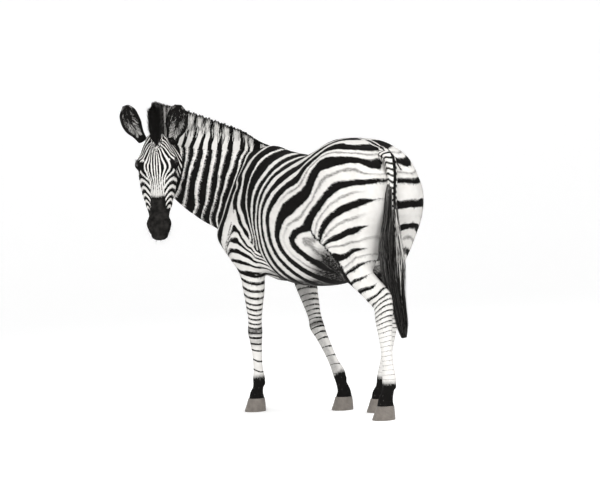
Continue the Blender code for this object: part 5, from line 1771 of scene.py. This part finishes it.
def eye_material():
    mat, tree, shader = new_material("wet_eye", Roughness=0.22, Coat_Weight=1.0, Coat_Roughness=0.03)
    rings = add_node(tree, "ShaderNodeGroup", node_tree=iris_group())
    gaze = add_node(tree, "ShaderNodeAttribute", attribute_name="gaze")
    tree.links.new(gaze.outputs["Vector"], rings.inputs["Gaze"])
    tree.links.new(rings.outputs["Colour"], shader.inputs["Base Color"])
    return mat


WET_EYE = eye_material()
for word, side in SIDES:
    belongs(eyeball("eyeball_" + word, side), WET_EYE, "eye", "eye_" + word)
print("eyes at", [EYE_CENTRE[s].round(3).tolist() for s in (1, -1)])

# %% [markdown]
# Hooves are horn: dull, grey-brown, with rings of growth that run round them level with the coronet
# and fine upright fibres. The solids' own shape is right, so they stay and get this material.

# %% Hooves
def horn_group():
    tree, given, wanted = new_group("ringed_horn", [("Place", "Vector")],
                                    [("Colour", "Color"), ("Roughness", "Float"), ("Height", "Float")])
    split = add_node(tree, "ShaderNodeSeparateXYZ")
    tree.links.new(given["Place"], split.inputs[0])
    lean = math_node(tree, "MULTIPLY_ADD", split.outputs[1], -0.35, split.outputs[2])
    wobble = math_node(tree, "MULTIPLY_ADD", noise_node(tree, given["Place"], 30.0, 2.0), 0.006, lean)
    rings = math_node(tree, "SINE", math_node(tree, "MULTIPLY", wobble, 950.0))
    drawn = add_node(tree, "ShaderNodeCombineXYZ")
    tree.links.new(split.outputs[0], drawn.inputs[0])
    tree.links.new(split.outputs[1], drawn.inputs[1])
    tree.links.new(math_node(tree, "MULTIPLY", split.outputs[2], 0.08), drawn.inputs[2])
    fibres = noise_node(tree, drawn.outputs[0], 420.0, 3.0)
    height = math_node(tree, "MULTIPLY_ADD", rings, 0.35, fibres)
    tint = math_node(tree, "MULTIPLY_ADD", noise_node(tree, given["Place"], 45.0, 3.0), 0.7,
                     math_node(tree, "MULTIPLY", height, 0.25), clamp=True)
    tree.links.new(mix_colour(tree, tint, (0.055, 0.048, 0.043, 1), (0.25, 0.22, 0.19, 1)), wanted["Colour"])
    tree.links.new(math_node(tree, "MULTIPLY_ADD", fibres, 0.25, 0.42), wanted["Roughness"])
    tree.links.new(height, wanted["Height"])
    return tree


def horn_material():
    mat, tree, shader = new_material("hoof_horn")
    horn = add_node(tree, "ShaderNodeGroup", node_tree=horn_group())
    place = add_node(tree, "ShaderNodeTexCoord")
    tree.links.new(place.outputs["Object"], horn.inputs["Place"])
    tree.links.new(horn.outputs["Colour"], shader.inputs["Base Color"])
    tree.links.new(horn.outputs["Roughness"], shader.inputs["Roughness"])
    add_bump(tree, shader, horn.outputs["Height"], 0.4, 0.0012)
    return mat


HORN = horn_material()
HOOVES = [pair + word for pair in ("hoof_fore_", "hoof_hind_") for word in ("left", "right")]
for name in HOOVES:
    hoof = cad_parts[name]
    hoof.data.materials.clear()
    hoof.data.materials.append(HORN)
print("horn on", len(HOOVES), "hooves")

# %% [markdown]
# Short hair covers everything else. From far it is a sheen over the skin; near by it frays the edges
# of the bands and breaks the outline. Thin three-sided slivers lie over each other along the way the
# hair grows: back over the trunk, down the legs, down the nose. Each takes one place's marks, so skin
# and coat agree, and its patch on the map lies at its root's place on the unrolled limb.

# %% Where the coat lies
BODY_LENGTH = BODY_LINE.at[-1]


def limb_of(p):
    """0 trunk left, 1 trunk right, 2 neck, 3 head, 4 to 7 the legs; with places on their unrolled skin."""
    along, depth, across = BODY_LINE.chart(p)
    s = along - WITHERS
    limb = np.where(across < 0, 0, 1)
    around = np.arctan2(across, -depth) / (2 * np.pi)
    chart = np.column_stack([(along + 0.25) / (BODY_LENGTH + 0.5), np.abs(around) * 2])
    neck = s > 0.02
    limb[neck] = 2
    chart[neck] = np.column_stack([(s[neck] - 0.02) / 0.62, around[neck] + 0.5])
    ahead = (s > 0.45) & (past_throat(p) > 0)
    down_nose, out, left = head_frame(p)
    limb[ahead] = 3
    head_turn = np.arctan2(left, out + 0.075) / (2 * np.pi)
    chart[ahead] = np.column_stack([(down_nose[ahead] + 0.12) / 0.68, head_turn[ahead] + 0.5])
    for k, (leg, line) in enumerate(LEG_LINES):
        t, front, aside = line.chart(p)
        start = 0.03 if "elbow" in leg else 0.16
        mine = (np.hypot(front, aside) < 0.125) & (p[:, 0] * leg["side"] > 0.02) & (t > start)
        limb[mine] = 4 + k
        turn = np.arctan2(aside, front) / (2 * np.pi) + 0.5
        chart[mine] = np.column_stack([t[mine] / 0.98, (k + 0.04 + 0.92 * turn[mine]) / 4])
    return limb, np.clip(chart, 0.004, 0.992)


def lie_of_coat(p, limb):
    """Which way the hair grows."""
    way = -BODY_LINE.tangent[BODY_LINE.locate(p)[0]] - UP * 0.3
    left = head_frame(p)[2]
    face = NOSE + FACE_LEFT * (np.sign(left) * 0.55 * ramp(0.03, 0.08, np.abs(left)))[:, None] - UP * 0.1
    way = np.where((limb == 3)[:, None], face, way)
    return np.where((limb > 3)[:, None], -UP + vec(0, 0.22, 0), way)


def coat_sizes(p, limb):
    """Length and width of the tufts, smallest on face and feet."""
    down_nose = head_frame(p)[0]
    length = np.where(limb == 3, 0.0085 - 0.0045 * ramp(0.25, 0.42, down_nose), 0.0135)
    foot = ramp(0.75, 0.25, p[:, 2])
    length = np.where(limb > 3, 0.0115 - 0.005 * foot, length)
    return length, length * np.where(limb == 3, 0.075, 0.085)


class Ground:
    """A piece's triangles, for even random places on it."""

    def __init__(self, obj, limbs=None):
        mesh = obj.data
        mesh.calc_loop_triangles()
        corners = np.zeros(len(mesh.loop_triangles) * 3, np.int32)
        mesh.loop_triangles.foreach_get("vertices", corners)
        self.corners = corners.reshape(-1, 3)
        self.places = vertex_places(obj)
        self.normals = vertex_normals(obj)
        a, b, c = (self.places[self.corners[:, k]] for k in range(3))
        self.areas = np.linalg.norm(np.cross(b - a, c - a), axis=1) / 2
        self.limbs = np.zeros(len(self.areas), int) if limbs is None else limbs((a + b + c) / 3)

    def places_on(self, rng, limbs, count):
        """Places on some limbs, with their normals and the area they cover."""
        area = self.areas * np.isin(self.limbs, limbs)
        chosen = self.corners[rng.choice(len(area), count, p=area / area.sum())]
        share = rng.random((count, 2))
        share = np.where(share.sum(1, keepdims=True) > 1, 1 - share, share)
        w = np.column_stack([1 - share.sum(1), share])[..., None]
        return (self.places[chosen] * w).sum(1), unit((self.normals[chosen] * w).sum(1)), area.sum()


def tufts(name, rng, root, out, way, length, width, marks, chart):
    """Slivers lying along the way the hair grows, each with its own small turn, rise and length."""
    aside = np.cross(way, out)
    way = unit(way - out * (way * out).sum(1, keepdims=True))
    way = unit(way + unit(aside) * (0.2 * rng.standard_normal((len(root), 1))))
    way = way + out * (0.035 + 0.07 * rng.random((len(root), 1)))
    start = root - out * 0.0002
    tip = start + way * (length * (0.75 + 0.5 * rng.random(len(root))))[:, None]
    obj = blades(name, np.stack([start, tip], 1), width, marks.layers(), chart, 0.14, out)
    belongs(obj, COAT_HAIR, "coat")
    return obj


COAT_HAIR = coat_material("coat_tufts", 0.7)
SKIN_GROUND = Ground(skin, lambda p: limb_of(p)[0])


def coat_piece(name, limbs, count, seed):
    rng = np.random.default_rng(seed)
    root, out, area = SKIN_GROUND.places_on(rng, limbs, count)
    clear = root[:, 2] > CORONET_HEIGHT + 0.004
    for s in (1, -1):
        clear &= np.linalg.norm(root - EYE_CENTRE[s], axis=1) > EYE_RADIUS + 0.0035
    root, out = root[clear], out[clear]
    limb, chart = limb_of(root)
    length, width = coat_sizes(root, limb)
    obj = tufts(name, rng, root, out, lie_of_coat(root, limb), length, width, coat_marks(root), chart)
    print(name, len(obj.data.polygons), "faces,", round(len(root) / area / 1e4, 1), "per square centimetre")


for k, (area, limbs, count) in enumerate((
        ("trunk_left", [0], 46000), ("trunk_right", [1], 46000), ("neck", [2], 32000),
        ("head", [3], 36000), ("legs", [4, 5, 6, 7], 46000))):
    coat_piece("coat_" + area, limbs, int(count * THIN), SEED + 20 + k)

# %% [markdown]
# The same slivers cover the ears and the dock. These pieces have lines of their own, which give the
# marks, the way of the hair and the map.

# %% The coat of ears and dock
def small_coat(name, obj, count, seed, marks_at, way_at, chart_at, length):
    """Tufts on a detached piece; its own functions give marks, lie and map."""
    rng = np.random.default_rng(seed)
    root, out, _ = Ground(obj).places_on(rng, [0], count)
    size = np.full(count, length)
    return tufts(name, rng, root, out, way_at(root), size, size * 0.085, marks_at(root), chart_at(root))


def line_chart(line):
    """A map round a line: along it, and turns round it."""
    def chart(p):
        t, front, across = line.chart(p)
        along = (t - line.at[0] + 0.03) / (line.at[-1] - line.at[0] + 0.06)
        return np.clip(np.column_stack([along, np.arctan2(across, front) / (2 * np.pi) + 0.5]), 0.004, 0.992)
    return chart


def line_way(line, sign=1.0):
    def way(p):
        return line.tangent[line.locate(p)[0]] * sign
    return way


small_coat("coat_dock", dock, int(5000 * THIN), SEED + 30, dock_marks_at, line_way(DOCK_LINE),
           line_chart(DOCK_LINE), 0.009)
for word, side in SIDES:
    ear_line = ear_masses(side)[0].outer
    small_coat("coat_ear_" + word, ears[side], int(5200 * THIN), SEED + 31 + side,
               lambda p, side=side: ear_marks_at(p, side), line_way(ear_line), line_chart(ear_line), 0.006)
print("tufts on ears and dock")

# %% [markdown]
# Lashes stand out and down from the upper lids, and a few stiff whiskers grow from the chin and lips.

# %% Lashes and whiskers
def lashes(name, side, count, seed):
    rng = np.random.default_rng(seed)
    along, lift = eye_axes(side)
    look = EYE_LOOK[side]
    u = rng.uniform(-0.95, 0.85, count) * ALMOND_LENGTH
    v = ALMOND_UP * (1 - (u / ALMOND_LENGTH) ** 2) * 0.97 + 0.0006
    depth = np.sqrt(np.maximum((EYE_RADIUS + 0.0022) ** 2 - u**2 - v**2, 1e-6))
    root = EYE_CENTRE[side] + along * u[:, None] + lift * v[:, None] + look * depth[:, None]
    lean = unit(look * 0.9 - lift * 0.25 + along * (u / ALMOND_LENGTH * 0.5)[:, None] - UP * 0.25
                + 0.08 * rng.standard_normal((count, 3)))
    reach = 0.012 + 0.006 * rng.random(count)
    lines = bent_lines(root, lean, reach, lift * reach[:, None] * 0.12)
    uv = np.column_stack([0.5 + u / ALMOND_LENGTH * 0.4, rng.random(count) * 0.9 + 0.05])
    return blades(name, lines, np.full(count, 0.00035), hair_marks(root, 1.3), uv)


def whiskers(name, count, seed):
    rng = np.random.default_rng(seed)
    root, out, _ = Ground(skin, on_chin).places_on(rng, [1], count)
    lean = unit(out + NOSE * 0.5 + 0.15 * rng.standard_normal((count, 3)))
    reach = 0.014 + 0.022 * rng.random(count)
    lines = bent_lines(root, lean, reach, NOSE * reach[:, None] * 0.15)
    down_nose, _, side = head_frame(root)
    uv = np.clip(np.column_stack([0.5 + side * 5, 0.5 + (down_nose - 0.46) * 5]), 0.02, 0.98)
    return blades(name, lines, np.full(count, 0.0003), hair_marks(root, 1.3), uv)


def on_chin(p):
    down_nose, out, _ = head_frame(p)
    return ((down_nose > 0.435) & (out < -0.055) & on_head(p)).astype(int)


for word, side in SIDES:
    belongs(lashes("lashes_" + word, side, 110, SEED + 40 + side), HAIR, "long_hair")
belongs(whiskers("chin_whiskers", 150, SEED + 44), HAIR, "muzzle_skin")
print("lashes and whiskers")

# %% [markdown]
# A plain pale floor and soft studio light: a large key from the left behind the camera, a fill, and a
# light from above. The camera stands off the animal's left hind quarter with a long lens.

# %% Floor, light and camera
FLOOR_RADIUS = 13.0
WALL_RADIUS = 20.0
WALL_HEIGHT = 9.0


def studio():
    """A round floor whose rim rises softly, so no edge shows from any side."""
    rings = [(0.0, 0.0), (4.0, 0.0), (9.0, 0.0), (FLOOR_RADIUS, 0.0)]
    rings += [(FLOOR_RADIUS + (WALL_RADIUS - FLOOR_RADIUS) * math.sin(a), WALL_HEIGHT * (1 - math.cos(a)))
              for a in np.linspace(0.1, math.pi / 2, 16)]
    turns = 96
    points = [(r * math.cos(2 * math.pi * k / turns), r * math.sin(2 * math.pi * k / turns), z)
              for r, z in rings[1:] for k in range(turns)] + [(0.0, 0.0, 0.0)]
    faces = ring_faces(len(rings) - 1, turns)
    faces += [(len(points) - 1, k, (k + 1) % turns) for k in range(turns)]
    mesh = bpy.data.meshes.new("studio_floor")
    mesh.from_pydata(points, [], faces)
    mesh.polygons.foreach_set("use_smooth", np.full(len(faces), True))
    floor = bpy.data.objects.new("studio_floor", mesh)
    bpy.context.scene.collection.objects.link(floor)
    mesh.materials.append(new_material("pale_floor", Base_Color=(0.86, 0.86, 0.86, 1), Roughness=0.9,
                                       Emission_Color=(1.0, 1.0, 1.0, 1), Emission_Strength=0.3)[0])
    world = bpy.data.worlds.new("studio")
    bpy.context.scene.world = world
    world.use_nodes = True
    sky = world.node_tree.nodes["Background"]
    sky.inputs["Color"].default_value = (1.0, 1.0, 1.0, 1)
    sky.inputs["Strength"].default_value = 0.62
    for name, place, size, power in (("key", (5.5, 4.5, 5.0), 3.0, 330), ("top", (-1.0, 1.5, 6.0), 3.5, 190),
                                     ("fill", (1.5, 7.5, 2.0), 3.0, 70)):
        light = bpy.data.lights.new(name, "AREA")
        light.size = size
        light.energy = power
        lamp = bpy.data.objects.new(name, light)
        lamp.location = place
        lamp.rotation_euler = (Vector((0, 0, 0.9)) - Vector(place)).to_track_quat("-Z", "Y").to_euler()
        bpy.context.scene.collection.objects.link(lamp)


CAMERA_BEARING = math.radians(52.4)      # from +X towards +Y, seen from the withers
CAMERA_DISTANCE = 10.55
CAMERA_HEIGHT = 1.0
CAMERA_LENS = 128.1
CAMERA_TURN = 0.0117                     # how far it looks to the right of the withers, as a slope
CAMERA_DIP = 0.0206                      # how far it looks down, as a slope
CAMERA_ROLL = math.radians(-3.1)


def camera():
    data = bpy.data.cameras.new("camera")
    data.lens = CAMERA_LENS
    data.sensor_width = 36.0
    data.clip_end = 200
    obj = bpy.data.objects.new("camera", data)
    back = vec(math.cos(CAMERA_BEARING), math.sin(CAMERA_BEARING), 0)
    right = vec(-math.sin(CAMERA_BEARING), math.cos(CAMERA_BEARING), 0)
    look = -back + right * CAMERA_TURN - UP * CAMERA_DIP
    turn = Vector(look).to_track_quat("-Z", "Y").to_matrix() @ Matrix.Rotation(CAMERA_ROLL, 3, "Z")
    obj.matrix_world = Matrix.Translation(back * CAMERA_DISTANCE + UP * CAMERA_HEIGHT + HOME) @ turn.to_4x4()
    bpy.context.scene.collection.objects.link(obj)
    bpy.context.scene.camera = obj


studio()
camera()
bpy.context.scene.view_settings.view_transform = "Standard"
print("the camera stands", CAMERA_DISTANCE, "m off with a lens of", CAMERA_LENS, "mm")
